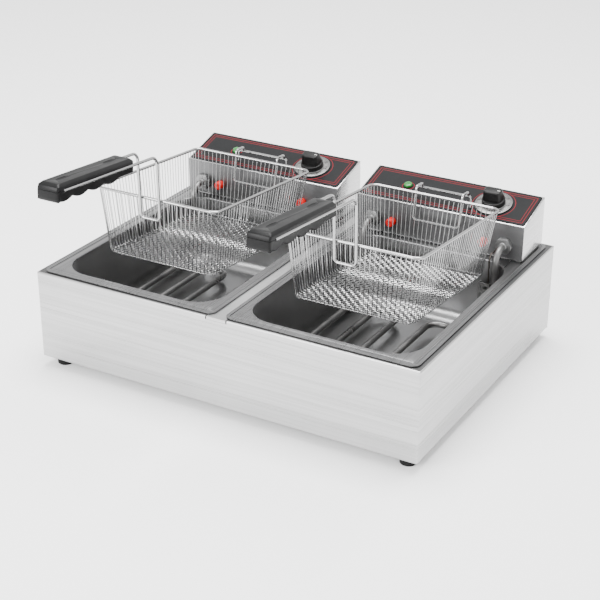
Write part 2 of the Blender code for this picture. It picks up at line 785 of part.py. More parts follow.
def build_lamp(shop, side, panel):
    low = LABEL_TOP + GAP
    lens_profile = [(0.0, low + 0.0042)]
    for step in range(1, 5):
        angle = math.radians(22.5 * step)
        lens_profile.append(
            (0.0052 * math.sin(angle), low + 0.0012 + 0.0030 * math.cos(angle))
        )
    lens_profile += [
        (LAMP_RADIUS, low + 0.0012),
        (LAMP_RADIUS, low),
        (LAMP_NECK_RADIUS, low),
        (LAMP_NECK_RADIUS, -0.006),
        (0.0, -0.006),
    ]
    place = (LAMP_X, LAMP_UP_SLOPE, 0)
    lens = shop.part(f"{side}_pilot_lens", turned_mesh("pilot_lens", lens_profile), "lens_green", panel, place)
    add_screw(lens, 16)
    body_profile = [
        (0.0, -0.006 - GAP),
        (LAMP_NECK_RADIUS + 0.002, -0.006 - GAP),
        (LAMP_NECK_RADIUS + 0.002, -0.010),
        (LAMP_NECK_RADIUS, -0.010),
        (LAMP_NECK_RADIUS, -0.024),
        (0.0, -0.024),
    ]
    body = shop.part(f"{side}_pilot_body", turned_mesh("pilot_body", body_profile), "black_plastic", panel, place)
    add_screw(body, 12)


def element_route():
    """The tube's centre line: in through one leg, along the tank floor in hairpins and back."""
    terminal_y = HEAD_FRONT + 0.020
    outer, middle, inner = RUN_X
    front, rear = RUN_FRONT, RUN_REAR
    corners = [
        (-LEG_X, terminal_y, NUT_Z),
        (-LEG_X, DROP_Y, NUT_Z),
        (-LEG_X, DROP_Y, RUN_Z),
        (-outer, front, RUN_Z),
        (-middle, front, RUN_Z),
        (-middle, rear, RUN_Z),
        (-inner, rear, RUN_Z),
        (-inner, front, RUN_Z),
    ]
    corners += [(-x, y, z) for x, y, z in reversed(corners)]
    return rounded_path(corners, 0.0175, steps=4)


def nut_mesh():
    """A hexagon nut whose axis is Y and whose rear face is at Y 0."""
    bm = bmesh.new()
    radius = NUT_ACROSS / 2 / math.cos(math.pi / 6)
    bmesh.ops.create_cone(
        bm, cap_ends=True, segments=6, radius1=radius, radius2=radius, depth=NUT_THICKNESS
    )
    bmesh.ops.rotate(bm, matrix=Matrix.Rotation(math.pi / 2, 3, "X"), verts=bm.verts)
    bmesh.ops.translate(bm, vec=(0, -NUT_THICKNESS / 2, 0), verts=bm.verts)
    return finish_mesh("element_nut", bm, smooth=False)


def build_element(shop, side, unit):
    route = element_route()
    curve = wire_curve("heating_element", route, TUBE_RADIUS)
    shop.part(f"{side}_heating_element", curve, "element_steel", unit)
    for index, sign in enumerate((-1, 1)):
        place = (sign * LEG_X, HEAD_FRONT - GAP, NUT_Z)
        nut = shop.part(f"{side}_element_nut_{index + 1}", nut_mesh(), "head_steel", unit, place)
        bore = cylinder_mesh("nut_bore", TUBE_RADIUS + 2 * GAP, 0.03, 20, axis="Y")
        combine(nut, shop.cutter(f"{side}_nut_bore_{index + 1}", bore, unit, place))


def build_probe(shop, side, unit):
    """Capillary from the head's front wall down to the sensing bulb above the element."""
    bulb_rear = 0.050
    bulb_front = -0.060
    corners = [
        (PROBE_X, HEAD_FRONT + 0.012, NUT_Z - 0.010),
        (PROBE_X, PROBE_Y, NUT_Z - 0.010),
        (PROBE_X, PROBE_Y, PROBE_Z),
        (PROBE_X, bulb_rear, PROBE_Z),
    ]
    path = rounded_path(corners, 0.008, steps=3)
    thick = PROBE_RADIUS / CAPILLARY_RADIUS
    weights = [1.0] * len(path)
    for y, weight in ((bulb_rear - 0.003, thick), (bulb_front, thick), (bulb_front - 0.003, 1.0)):
        path.append(Vector((PROBE_X, y, PROBE_Z)))
        weights.append(weight)
    curve = wire_curve("thermostat_probe", path, CAPILLARY_RADIUS, weights=weights)
    shop.part(f"{side}_thermostat_probe", curve, "probe_copper", unit)


def build_guard(shop, side, unit):
    """A slotted channel, open to the rear, that shields the capillary inside the tank."""
    width, depth, height = GUARD_SIZE
    bm = bmesh.new()
    bmesh.ops.create_cube(bm, size=1.0)
    bmesh.ops.scale(bm, vec=GUARD_SIZE, verts=bm.verts)
    gone = [face for face in bm.faces if face.normal.y > 0.5 or abs(face.normal.z) > 0.5]
    bmesh.ops.delete(bm, geom=gone, context="FACES_ONLY")
    mesh = bpy.data.meshes.new("bulb_guard")
    bm.to_mesh(mesh)
    bm.free()
    guard = shop.part(f"{side}_bulb_guard", mesh, "element_steel", unit, GUARD_PLACE)
    solidify = add_solidify(guard, 0.001)
    solidify.use_even_offset = True
    rows = 4
    for row in range(rows):
        level = (row - (rows - 1) / 2) * height / (rows + 0.5)
        slot = box_mesh("guard_slot", (width * 0.55, depth, 0.005), (0, -depth / 2, level))
        combine(guard, shop.cutter(f"{side}_guard_slot_{row + 1}", slot, unit, GUARD_PLACE))


def build_buffers(shop, side, unit):
    """Soft stops on the head's front wall, held by a stem and a bead behind the sheet."""
    inside = HEAD_SHEET + GAP
    profile = [
        (0.0, inside + 0.003),
        (0.0032, inside + 0.003),
        (0.0042, inside),
        (0.0025, inside),
        (0.0025, -GAP),
        (BUFFER_RADIUS, -GAP),
        (BUFFER_RADIUS, -BUFFER_REACH + 0.0015),
        (BUFFER_RADIUS - 0.0015, -BUFFER_REACH),
        (0.0, -BUFFER_REACH),
    ]
    turn = (-math.pi / 2, 0, 0)
    for index, sign in enumerate((-1, 1)):
        place = (sign * BUFFER_X, HEAD_FRONT, BUFFER_Z)
        mesh = turned_mesh("buffer", profile)
        buffer = shop.part(f"{side}_buffer_{index + 1}", mesh, "buffer_rubber", unit, place, turn)
        add_screw(buffer, 12)


def build_wiring(shop, side, unit):
    """Terminal block on the head's base, and the gland where the supply lead would enter."""
    size = (0.060, 0.018, 0.016)
    floor = FLANGE_TOP + 2 * GAP + HEAD_SHEET + GAP
    place = (-0.020, HEAD_REAR - 0.025, floor + size[2] / 2 + GAP)
    block = shop.part(f"{side}_terminal_block", box_mesh("block", size), "terminal_ceramic", unit, place)
    for index in range(3):
        slot = box_mesh("block_slot", (0.012, 0.03, 0.010), ((index - 1) * 0.019, 0, 0.008))
        combine(block, shop.cutter(f"{side}_block_slot_{index + 1}", slot, unit, place))
    neck = GLAND_RADIUS - 0.002
    bore = 0.0042
    profile = [
        (bore, GLAND_REACH),
        (0.0062, GLAND_REACH),
        (0.0072, 0.006),
        (GLAND_RADIUS, 0.005),
        (GLAND_RADIUS, GAP),
        (neck, GAP),
        (neck, -HEAD_SHEET - 0.006),
        (bore, -HEAD_SHEET - 0.006),
        (bore, GLAND_REACH),
    ]
    place = (GLAND_X, HEAD_REAR, GLAND_Z)
    turn = (-math.pi / 2, 0, 0)
    mesh = turned_mesh("cord_gland", profile)
    gland = shop.part(f"{side}_cord_gland", mesh, "black_plastic", unit, place, turn)
    add_screw(gland, 16)


# baskets ------------------------------------------------------------------------------------


def basket_rings():
    """Rounded rectangles down the basket's tapered wall and round its lower edge to the floor."""
    top = -RIM_WIRE - GAP
    taper = BASKET_DRAFT / (BASKET_DEPTH + top)

    def outline(inset, height, radius):
        half = (RIM_WIDTH / 2 - inset, RIM_LENGTH / 2 - inset)
        return rounded_rectangle((-half[0], -half[1]), half, radius, height, 3)

    rings = [outline(0, top, RIM_RADIUS)]
    for step in range(4):
        angle = math.radians(30 * step)
        height = -BASKET_DEPTH + BASKET_ROUND * (1 - math.sin(angle))
        inset = taper * (top - height) + BASKET_ROUND * (1 - math.cos(angle))
        rings.append(outline(inset, height, RIM_RADIUS))
    return rings


def build_basket(shop, side, basket):
    """The basket proper is an open thin-walled shape; rim, handle and hook are wires round it."""
    shape = lofted_mesh("basket_mesh", basket_rings())
    mesh = shop.part(f"{side}_basket_mesh", shape, "wire_steel", basket)
    add_solidify(mesh, MESH_THICKNESS)
    half = (RIM_WIDTH / 2, RIM_LENGTH / 2)
    ring = rounded_rectangle((-half[0], -half[1]), half, RIM_RADIUS, 0, 4)
    rim = wire_curve("basket_rim", ring, RIM_WIRE, cyclic=True)
    shop.part(f"{side}_basket_rim", rim, "wire_steel", basket)
    build_handle(shop, side, basket)
    build_hook(shop, side, basket)


def build_handle(shop, side, basket):
    """One wire: from the grip back to the front wall, down it, across and up again."""
    left = HANDLE_X - HANDLE_SPREAD / 2
    right = HANDLE_X + HANDLE_SPREAD / 2
    lean = BASKET_DRAFT / BASKET_DEPTH
    wall = -RIM_LENGTH / 2 - HANDLE_STANDOFF
    top = wall - lean * HANDLE_LEVEL
    foot = wall - lean * HANDLE_BOTTOM
    tip = GRIP_FRONT + 0.012
    corners = [
        (left, tip, HANDLE_LEVEL),
        (left, top, HANDLE_LEVEL),
        (left, foot, HANDLE_BOTTOM),
        (right, foot, HANDLE_BOTTOM),
        (right, top, HANDLE_LEVEL),
        (right, tip, HANDLE_LEVEL),
    ]
    bends = (0, HANDLE_BEND, HANDLE_FOOT_BEND, HANDLE_FOOT_BEND, HANDLE_BEND, 0)
    path = rounded_path(corners, bends, steps=4)
    shop.part(f"{side}_handle_frame", wire_curve("handle_frame", path, HANDLE_WIRE), "wire_steel", basket)
    grip = shop.frame(f"{side}_grip_frame", basket, (HANDLE_X, 0, HANDLE_LEVEL))
    for index, sign in enumerate((-1, 1)):
        path = [
            (sign * HANDLE_SPREAD / 2, tip - GAP, 0),
            (sign * HANDLE_SPREAD / 2, GRIP_REAR + 0.01, 0),
        ]
        groove = wire_mesh("wire_groove", path, HANDLE_WIRE + GAP)
        shop.cutter(f"{side}_wire_groove_{index + 1}", groove, grip)
    build_grip(shop, side, grip)


def grip_profile(upper):
    """The grip half's side outline as (y, z) points, from the front end to the rear."""
    part = GAP / 2
    if upper:
        return [
            (GRIP_FRONT, part),
            (GRIP_FRONT, 0.4 * GRIP_TOP),
            (GRIP_FRONT + 0.006, GRIP_TOP),
            (GRIP_REAR - 0.008, GRIP_TOP),
            (GRIP_REAR, 0.5 * GRIP_TOP),
            (GRIP_REAR, part),
        ]
    points = [(GRIP_REAR, -part), (GRIP_REAR, -0.7 * GRIP_BOTTOM)]
    rear_end = GRIP_FRONT + LOBE_COUNT * LOBE_PITCH
    steps = 6
    for lobe in reversed(range(LOBE_COUNT)):
        for step in range(steps if lobe else steps - 1):
            share = step / steps
            y = rear_end - (LOBE_COUNT - 1 - lobe + share) * LOBE_PITCH
            depth = GRIP_BOTTOM - LOBE_RISE * (1 - math.sin(math.pi * share))
            points.append((y, -depth))
    points.append((GRIP_FRONT, -0.55 * GRIP_BOTTOM))
    points.append((GRIP_FRONT, -part))
    return points


def round_grip_edges(mesh):
    """Rounds the outer long edges of a grip half, and leaves its parting face sharp."""
    bm = bmesh.new()
    bm.from_mesh(mesh)
    outer = [
        edge
        for edge in bm.edges
        if abs(edge.verts[0].co.z - edge.verts[1].co.z) < MERGE
        and max(abs(vert.co.y) for vert in edge.verts) > 2 * GAP
    ]
    bmesh.ops.bevel(bm, geom=outer, offset=GRIP_ROUND, segments=2, profile=0.5, affect="EDGES")
    bmesh.ops.recalc_face_normals(bm, faces=bm.faces)
    bm.to_mesh(mesh)
    bm.free()
    smooth_shading(mesh)


def build_grip(shop, side, grip):
    """Two moulded halves that close round the handle wires and leave them bare at the sides."""
    turn = (math.pi / 2, 0, math.pi / 2)
    for half in ("upper", "lower"):
        outline = grip_profile(half == "upper")
        mesh = plate_mesh(f"grip_{half}", outline, GRIP_WIDTH)
        round_grip_edges(mesh)
        obj = shop.part(f"{side}_grip_{half}", mesh, "grip_plastic", grip, (0, 0, 0), turn)
        for index in (1, 2):
            combine(obj, bpy.data.objects[f"{side}_wire_groove_{index}"])


def build_hook(shop, side, basket):
    """A bent wire up the rear wall and over the rim, and a footed bar that stands on the panel."""
    def wall_y(height):
        return RIM_LENGTH / 2 + BASKET_DRAFT * height / BASKET_DEPTH + RIM_WIRE + HOOK_WIRE + 2 * GAP

    left = HOOK_X - HOOK_SPREAD / 2
    right = HOOK_X + HOOK_SPREAD / 2
    low_y = wall_y(HOOK_BOTTOM)
    top_y = wall_y(HOOK_TOP)
    corners = [
        (left, HOOK_BAR_Y, HOOK_BAR_Z),
        (left, HOOK_BAR_Y - 0.002, HOOK_TOP),
        (left, top_y, HOOK_TOP),
        (left, low_y, HOOK_BOTTOM),
        (right, low_y, HOOK_BOTTOM),
        (right, top_y, HOOK_TOP),
        (right, HOOK_BAR_Y - 0.002, HOOK_TOP),
        (right, HOOK_BAR_Y, HOOK_BAR_Z),
    ]
    path = rounded_path(corners, 0.0045, steps=3)
    hook_mesh = wire_mesh("rear_hook", path, HOOK_WIRE)
    hook = shop.part(f"{side}_rear_hook", hook_mesh, "wire_steel", basket)
    end = HOOK_BAR_LENGTH / 2
    foot = foot_level() + HOOK_WIRE
    bar_corners = [
        (HOOK_BAR_X - end, HOOK_BAR_Y, foot),
        (HOOK_BAR_X - end, HOOK_BAR_Y, HOOK_BAR_Z),
        (HOOK_BAR_X + end, HOOK_BAR_Y, HOOK_BAR_Z),
        (HOOK_BAR_X + end, HOOK_BAR_Y, foot),
    ]
    bar_path = rounded_path(bar_corners, 0.004, steps=3)
    bar = wire_mesh("hook_bar", bar_path, HOOK_WIRE)
    combine(hook, shop.cutter(f"{side}_hook_bar", bar, basket), "UNION")


def foot_level():
    """Height of the panel label under the hook bar, in the basket's frame."""
    cos, sin = math.cos(BASKET_TILT), math.sin(BASKET_TILT)
    slope = math.tan(PANEL_SLOPE)
    rise = LABEL_TOP / math.cos(PANEL_SLOPE) + GAP
    y = BASKET_Y + HOOK_BAR_Y * cos
    z = HEAD_FRONT_TOP + (y - HEAD_FRONT) * slope + rise
    return (z - BASKET_Z + HOOK_BAR_Y * sin) / (cos - sin * slope)


def build_unit(shop, side, sign, frame):
    unit = shop.frame(f"{side}_unit", frame, (sign * UNIT_X, 0, 0))
    panel = shop.frame(f"{side}_panel", unit, (0, HEAD_FRONT, HEAD_FRONT_TOP), PANEL_SLOPE)
    basket_place = (BASKET_SHIFT[side], BASKET_Y, BASKET_Z)
    basket = shop.frame(f"{side}_basket", unit, basket_place, -BASKET_TILT)
    build_tank(shop, side, unit)
    build_head(shop, side, unit, panel)
    build_knob(shop, side, panel)
    build_lamp(shop, side, panel)
    build_element(shop, side, unit)
    build_probe(shop, side, unit)
    build_guard(shop, side, unit)
    build_buffers(shop, side, unit)
    build_wiring(shop, side, unit)
    build_basket(shop, side, basket)


def main():
    clear_scene()
    shop = Workshop()
    frame = shop.frame("fryer_frame", None, (0, CASING_Y, FOOT_HEIGHT))
    build_casing(shop, frame)
    build_feet(shop, frame)
    for side, sign in SIDES.items():
        build_unit(shop, side, sign, frame)


main()
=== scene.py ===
"""Countertop deep fryer with two tanks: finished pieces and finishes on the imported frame.

Metres, +Z up, the front faces -Y. Pieces are placed from the frame's nodes, joints and boxes.
"""

import json
import logging
import math
from dataclasses import dataclass, field
from enum import Enum
from typing import Any, Callable, Iterable, Optional, Sequence, Union

import bmesh
import bpy
from mathutils import Matrix, Vector

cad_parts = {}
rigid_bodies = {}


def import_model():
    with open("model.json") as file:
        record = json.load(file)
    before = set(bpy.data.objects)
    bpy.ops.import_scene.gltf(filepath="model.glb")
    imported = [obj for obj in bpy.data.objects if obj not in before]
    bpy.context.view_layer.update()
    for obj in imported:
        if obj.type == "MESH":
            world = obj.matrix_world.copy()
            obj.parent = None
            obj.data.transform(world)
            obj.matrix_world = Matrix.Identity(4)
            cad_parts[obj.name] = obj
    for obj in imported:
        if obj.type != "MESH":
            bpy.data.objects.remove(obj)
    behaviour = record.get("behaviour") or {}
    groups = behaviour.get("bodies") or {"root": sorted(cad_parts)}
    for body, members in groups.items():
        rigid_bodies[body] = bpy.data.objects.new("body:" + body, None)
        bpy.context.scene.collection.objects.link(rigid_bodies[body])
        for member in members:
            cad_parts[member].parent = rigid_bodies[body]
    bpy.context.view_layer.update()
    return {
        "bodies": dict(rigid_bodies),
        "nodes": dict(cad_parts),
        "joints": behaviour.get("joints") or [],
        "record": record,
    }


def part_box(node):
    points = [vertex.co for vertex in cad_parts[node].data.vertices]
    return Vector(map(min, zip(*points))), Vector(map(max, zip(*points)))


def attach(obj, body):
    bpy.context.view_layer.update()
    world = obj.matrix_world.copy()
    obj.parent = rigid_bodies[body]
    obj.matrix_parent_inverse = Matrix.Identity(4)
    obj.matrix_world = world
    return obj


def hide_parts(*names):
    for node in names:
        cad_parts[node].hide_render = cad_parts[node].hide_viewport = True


LOG = logging.getLogger("fryer")
MERGE = 0.00001
SMOOTH_ANGLE = math.radians(35)
FOLD_ANGLE = math.radians(60)

# least share of a face's normal that counts as looking one way, loosely and strictly
LEVEL = 0.9
FLAT = 0.99

Number = Union[int, float]
Point = Sequence[float]
Colour = tuple[float, float, float]
Test = Callable[[Any], bool]


class Side(Enum):
    """The two halves of the fryer, seen from the front."""

    LEFT = "left"
    RIGHT = "right"


class Grain(Enum):
    """Which way the brush strokes of a metal run; each value squeezes the noise across them."""

    LEVEL = (5.0, 5.0, 900.0)
    ALONG_Y = (900.0, 5.0, 900.0)
    NONE = (60.0, 60.0, 60.0)


# tests for the elements of a mesh -----------------------------------------------------------


def everything(_: Any) -> bool:
    """Passes any element."""
    return True


def above(level: float) -> Test:
    """Passes edges that lie wholly above a level."""
    return lambda edge: all(vert.co.z > level for vert in edge.verts)


def below(level: float) -> Test:
    """Passes edges that lie wholly below a level."""
    return lambda edge: all(vert.co.z < level for vert in edge.verts)


def rising(least: float) -> Test:
    """Passes edges whose ends differ in height by more than this."""
    return lambda edge: abs(edge.verts[0].co.z - edge.verts[1].co.z) > least


def facing_up(face: Any) -> bool:
    """Passes level faces that look up."""
    return face.normal.z > FLAT


def open_edge(edge: Any) -> bool:
    """Passes the edges of a sheet's outline or of a hole."""
    return len(edge.link_faces) == 1


def folded(edge: Any) -> bool:
    """Passes edges where two faces meet at a steep angle."""
    return len(edge.link_faces) == 2 and edge.calc_face_angle(0.0) > FOLD_ANGLE


# shader helpers -----------------------------------------------------------------------------


class Value:
    """A number socket that takes part in Python sums; every sum adds its Math node."""

    def __init__(self, shader: "Shader", socket: bpy.types.NodeSocket) -> None:
        """Wraps a socket of one shader."""
        self.shader = shader
        self.socket = socket

    def _math(self, operation: str, *others: Union["Value", Number], flip: bool = False) -> "Value":
        """Adds a Math node.

        Args:
            operation: the node's operation.
            others: the further operands, sockets or numbers.
            flip: True puts the other operand first.

        Returns:
            The node's result.
        """
        operands: list[Any] = [self, *others]
        if flip:
            operands.reverse()
        settings = {"operation": operation}
        return self.shader.node("ShaderNodeMath", settings, dict(enumerate(operands)))

    def __add__(self, other: Union["Value", Number]) -> "Value":
        """Sum."""
        return self._math("ADD", other)

    def __sub__(self, other: Union["Value", Number]) -> "Value":
        """Difference."""
        return self._math("SUBTRACT", other)

    def __rsub__(self, other: Number) -> "Value":
        """Difference from a number."""
        return self._math("SUBTRACT", other, flip=True)

    def __mul__(self, other: Union["Value", Number]) -> "Value":
        """Product."""
        return self._math("MULTIPLY", other)

    def __truediv__(self, other: Union["Value", Number]) -> "Value":
        """Quotient."""
        return self._math("DIVIDE", other)

    def __abs__(self) -> "Value":
        """Size without sign."""
        return self._math("ABSOLUTE")

    def root(self) -> "Value":
        """Square root."""
        return self._math("SQRT")

    def at_least(self, other: Union["Value", Number]) -> "Value":
        """The larger of the two."""
        return self._math("MAXIMUM", other)

    def at_most(self, other: Union["Value", Number]) -> "Value":
        """The smaller of the two."""
        return self._math("MINIMUM", other)

    def fraction(self) -> "Value":
        """The part after the decimal point."""
        return self._math("FRACT")

    def angle_to(self, across: "Value") -> "Value":
        """Arc tangent of this over the other."""
        return self._math("ARCTAN2", across)

    def ramp(self, low: Number, high: Number) -> "Value":
        """Rises smoothly from 0 at low to 1 at high.

        Args:
            low: where the rise starts.
            high: where it ends; a smaller number than low gives a fall.

        Returns:
            A value from 0 to 1.
        """
        flip = low > high
        start, end = (high, low) if flip else (low, high)
        rise = self.shader.node(
            "ShaderNodeMapRange",
            {"interpolation_type": "SMOOTHSTEP"},
            {"Value": self, "From Min": start, "From Max": end},
        )
        return 1 - rise if flip else rise

    def band(self, centre: Number, half: Number, soft: Number) -> "Value":
        """1 within half of the centre, fading to 0 over soft."""
        return abs(self - centre).ramp(half + soft, half)


class Shader:
    """One material under construction."""

    def __init__(self, name: str) -> None:
        """Starts a material that holds only a Principled shader.

        Args:
            name: the material's name.
        """
        self.material = bpy.data.materials.new(name)
        self.material.use_nodes = True
        self.tree = self.material.node_tree
        self.surface = self.tree.nodes["Principled BSDF"]

    def node(
        self, kind: str, settings: dict[str, Any], sockets: dict[Any, Any], output: Any = 0
    ) -> Value:
        """Adds any node.

        Args:
            kind: the node's type.
            settings: its properties, set before its sockets.
            sockets: value or link of each input, by name or number.
            output: name or number of the output that is returned.

        Returns:
            The chosen output.
        """
        made = self.tree.nodes.new(kind)
        for name, value in settings.items():
            setattr(made, name, value)
        for key, value in sockets.items():
            if isinstance(value, Value):
                self.tree.links.new(value.socket, made.inputs[key])
            else:
                made.inputs[key].default_value = value
        return Value(self, made.outputs[output])

    def set(self, **constants: Any) -> None:
        """Sets constant sockets; underscores in the names stand for spaces."""
        for name, value in constants.items():
            self.surface.inputs[name.replace("_", " ")].default_value = value

    def link(self, name: str, value: Value) -> None:
        """Feeds one socket of the Principled shader."""
        self.tree.links.new(value.socket, self.surface.inputs[name])

    def place(self) -> Value:
        """Object coordinates."""
        return self.node("ShaderNodeTexCoord", {}, {}, "Object")

    def flat_map(self, layer: str) -> tuple[Value, Value]:
        """The two coordinates of a UV layer.

        Args:
            layer: the UV layer's name.

        Returns:
            Its across and along values.
        """
        uv = self.node("ShaderNodeUVMap", {"uv_map": layer}, {})
        across = self.node("ShaderNodeSeparateXYZ", {}, {0: uv}, "X")
        along = self.node("ShaderNodeSeparateXYZ", {}, {0: uv}, "Y")
        return across, along

    def noise(self, scale: Number, stretch: Point = (1, 1, 1), detail: Number = 3.0) -> Value:
        """Noise on object coordinates.

        Args:
            scale: its overall scale.
            stretch: further scale on each axis.
            detail: how many finer layers it has.

        Returns:
            A value round 0.5.
        """
        factors = {0: self.place(), 1: tuple(stretch)}
        stretched = self.node("ShaderNodeVectorMath", {"operation": "MULTIPLY"}, factors)
        sockets = {"Vector": stretched, "Scale": scale, "Detail": detail}
        return self.node("ShaderNodeTexNoise", {}, sockets, "Fac")

    def blend(self, factor: Value, first: Any, second: Any) -> Value:
        """A colour between two.

        Args:
            factor: 0 gives the first colour, 1 the second.
            first: a colour or a link.
            second: a colour or a link.

        Returns:
            The mixed colour.
        """
        colours = [c if isinstance(c, Value) else (*c, 1.0) for c in (first, second)]
        settings = {"data_type": "RGBA"}
        return self.node("ShaderNodeMix", settings, {0: factor, 6: colours[0], 7: colours[1]}, 2)

    def relief(self, height: Value, distance: Number, strength: Number = 1.0) -> None:
        """Feeds a Bump node into Normal."""
        sockets = {"Height": height, "Distance": distance, "Strength": strength}
        self.link("Normal", self.node("ShaderNodeBump", {}, sockets))


# finishes -----------------------------------------------------------------------------------


@dataclass(frozen=True)
class Metal:
    """Sheet, wire or tube metal with brush strokes, soft clouds and a little wear."""

    name: str
    colour: Colour
    roughness: float
    grain: Grain = Grain.NONE
    stroke: float = 0.10
    cloud: float = 0.06
    relief: float = 0.00001
    darken: float = 0.12

    def build(self) -> bpy.types.Material:
        """Makes the material.

        Returns:
            The finished material.
        """
        shader = Shader(self.name)
        fine = shader.noise(1.0, self.grain.value, 2.0)
        broad = shader.noise(0.22, self.grain.value)
        strokes = fine.ramp(0.30, 0.70) * 0.4 + broad.ramp(0.36, 0.64) * 0.6
        clouds = shader.noise(14.0)
        deep = tuple(channel * (1 - self.darken) for channel in self.colour)
        shader.link("Base Color", shader.blend(strokes * 0.7 + clouds * 0.3, deep, self.colour))
        uneven = (strokes - 0.5) * (2 * self.stroke) + (clouds - 0.5) * (2 * self.cloud)
        shader.link("Roughness", (uneven + self.roughness).at_least(0.05))
        shader.relief(strokes, self.relief, 0.5)
        shader.set(Metallic=1.0)
        return shader.material


@dataclass(frozen=True)
class Moulding:
    """Moulded plastic or rubber with a fine grain and rubbed, lighter patches."""

    name: str
    colour: Colour
    roughness: float
    rubbed: Colour
    grain_scale: float = 900.0
    relief: float = 0.00004
    specular: float = 0.5

    def build(self) -> bpy.types.Material:
        """Makes the material.

        Returns:
            The finished material.
        """
        shader = Shader(self.name)
        grain = shader.noise(self.grain_scale, detail=2.0)
        clouds = shader.noise(35.0, detail=4.0)
        shader.link("Base Color", shader.blend(clouds.ramp(0.35, 0.75), self.colour, self.rubbed))
        shader.link("Roughness", (clouds - 0.5) * 0.25 + (grain - 0.5) * 0.1 + self.roughness)
        shader.relief(grain, self.relief, 0.6)
        shader.set(Specular_IOR_Level=self.specular)
        return shader.material


@dataclass(frozen=True)
class Lens:
    """Clear coloured plastic over a small lamp, with fine facets."""

    name: str = "pilot_lens_green"
    colour: Colour = (0.0, 0.22, 0.016)
    deep: Colour = (0.0, 0.06, 0.004)
    glow: float = 0.5

    def build(self) -> bpy.types.Material:
        """Makes the material.

        Returns:
            The finished material.
        """
        shader = Shader(self.name)
        facets = shader.node(
            "ShaderNodeTexVoronoi", {}, {"Vector": shader.place(), "Scale": 900.0}, "Distance"
        )
        tone = shader.blend(facets.ramp(0.0, 0.9), self.colour, self.deep)
        shader.link("Base Color", tone)
        shader.link("Emission Color", tone)
        shader.relief(facets, 0.0002, 0.5)
        shader.set(Roughness=0.1, Emission_Strength=self.glow, Coat_Weight=0.6)
        return shader.material


@dataclass(frozen=True)
class PanelPrint:
    """Dark grey control film with a red double border and a red arc round the dial."""

    width: float
    length: float
    dial: tuple[float, float]
    lamp: tuple[float, float]
    name: str = "panel_print"
    ground: Colour = (0.0050, 0.0052, 0.0057)
    edge: Colour = (0.002, 0.002, 0.0025)
    ink: Colour = (0.20, 0.004, 0.010)
    line: float = 0.00028
    corner: float = 0.006
    insets: tuple[float, float] = (0.0050, 0.0088)
    arc: float = 0.0295
    lamp_ring: float = 0.0085
    soft: float = 0.0002
    margin: tuple[float, float] = (0.0022, 0.0016)

    def frame_distance(self, across: Value, along: Value) -> Value:
        """Signed distance to the film's outline, negative inside.

        Args:
            across: place across the panel, from its middle.
            along: place up the slope, from its middle.

        Returns:
            The distance in metres.
        """
        past_x = abs(across) - (self.width / 2 - self.corner)
        past_y = abs(along) - (self.length / 2 - self.corner)
        out_x = past_x.at_least(0.0)
        out_y = past_y.at_least(0.0)
        inside = past_x.at_least(past_y).at_most(0.0)
        return (out_x * out_x + out_y * out_y).root() + inside - self.corner

    def reach(self, across: Value, along: Value, centre: tuple[float, float]) -> Value:
        """Distance from a centre."""
        dx, dy = across - centre[0], along - centre[1]
        return (dx * dx + dy * dy).root()

    def build(self) -> bpy.types.Material:
        """Makes the material.

        Returns:
            The finished material.
        """
        shader = Shader(self.name)
        across, along = shader.flat_map("panel")
        distance = self.frame_distance(across, along)
        from_dial = self.reach(across, along, self.dial)
        outside_dial = from_dial.ramp(self.arc, self.arc + 0.0003)
        outer = distance.band(-self.insets[0], self.line, self.soft)
        inner = distance.band(-self.insets[1], self.line * 0.8, self.soft)
        arc = from_dial.band(self.arc, self.line, self.soft)
        from_lamp = self.reach(across, along, self.lamp)
        lamp = from_lamp.band(self.lamp_ring, self.line, self.soft)
        ink = (outer.at_least(inner) * outside_dial).at_least(arc).at_least(lamp)
        clouds = shader.noise(40.0)
        lighter = tuple(channel * 1.25 for channel in self.ground)
        ground = shader.blend(clouds, self.ground, lighter)
        printed = shader.blend(ink, ground, self.ink)
        border = distance.ramp(-self.margin[0], -self.margin[1])
        bordered = shader.blend(border, printed, self.edge)
        shader.link("Base Color", bordered)
        shader.link("Roughness", (clouds - 0.5) * 0.12 + 0.36)
        shader.relief(shader.noise(1500.0, detail=1.0), 0.00003, 0.35)
        shader.set(Specular_IOR_Level=0.13)
        return shader.material


@dataclass(frozen=True)
class DialPrint:
    """Brushed silver disc with a printed scale of ticks and a dark edge line."""

    radius: float
    name: str = "dial_print"
    metal: Colour = (0.24, 0.24, 0.235)
    ink: Colour = (0.004, 0.004, 0.004)
    ticks: int = 48
    blank: float = 0.16

    def build(self) -> bpy.types.Material:
        """Makes the material.

        Returns:
            The finished material.
        """
        shader = Shader(self.name)
        across, along = shader.flat_map("dial")
        far = (across * across + along * along).root()
        turn = across.angle_to(along) / math.tau + 0.5
        step = (turn * self.ticks).fraction()
        long_step = (turn * (self.ticks / 6)).fraction()
        near = abs(step - 0.5).ramp(0.30, 0.36)
        near_long = abs(long_step - 0.5).ramp(0.445, 0.46)
        short_tick = near * far.band(self.radius * 0.90, self.radius * 0.035, 0.0002)
        long_tick = near_long * far.band(self.radius * 0.865, self.radius * 0.07, 0.0002)
        blank_from = 0.5 - self.blank / 2
        open_part = abs(turn - 0.5).ramp(blank_from, blank_from - 0.01)
        rim = far.ramp(self.radius * 0.965, self.radius * 0.975)
        ink = (short_tick.at_least(long_tick) * open_part).at_least(rim)
        swirl = shader.noise(1.0, (700.0, 40.0, 700.0), 2.0)
        ground = shader.blend(swirl, tuple(c * 0.8 for c in self.metal), self.metal)
        shader.link("Base Color", shader.blend(ink, ground, self.ink))
        shader.link("Metallic", 1 - ink)
        shader.link("Roughness", (swirl - 0.5) * 0.2 + 0.34)
        return shader.material


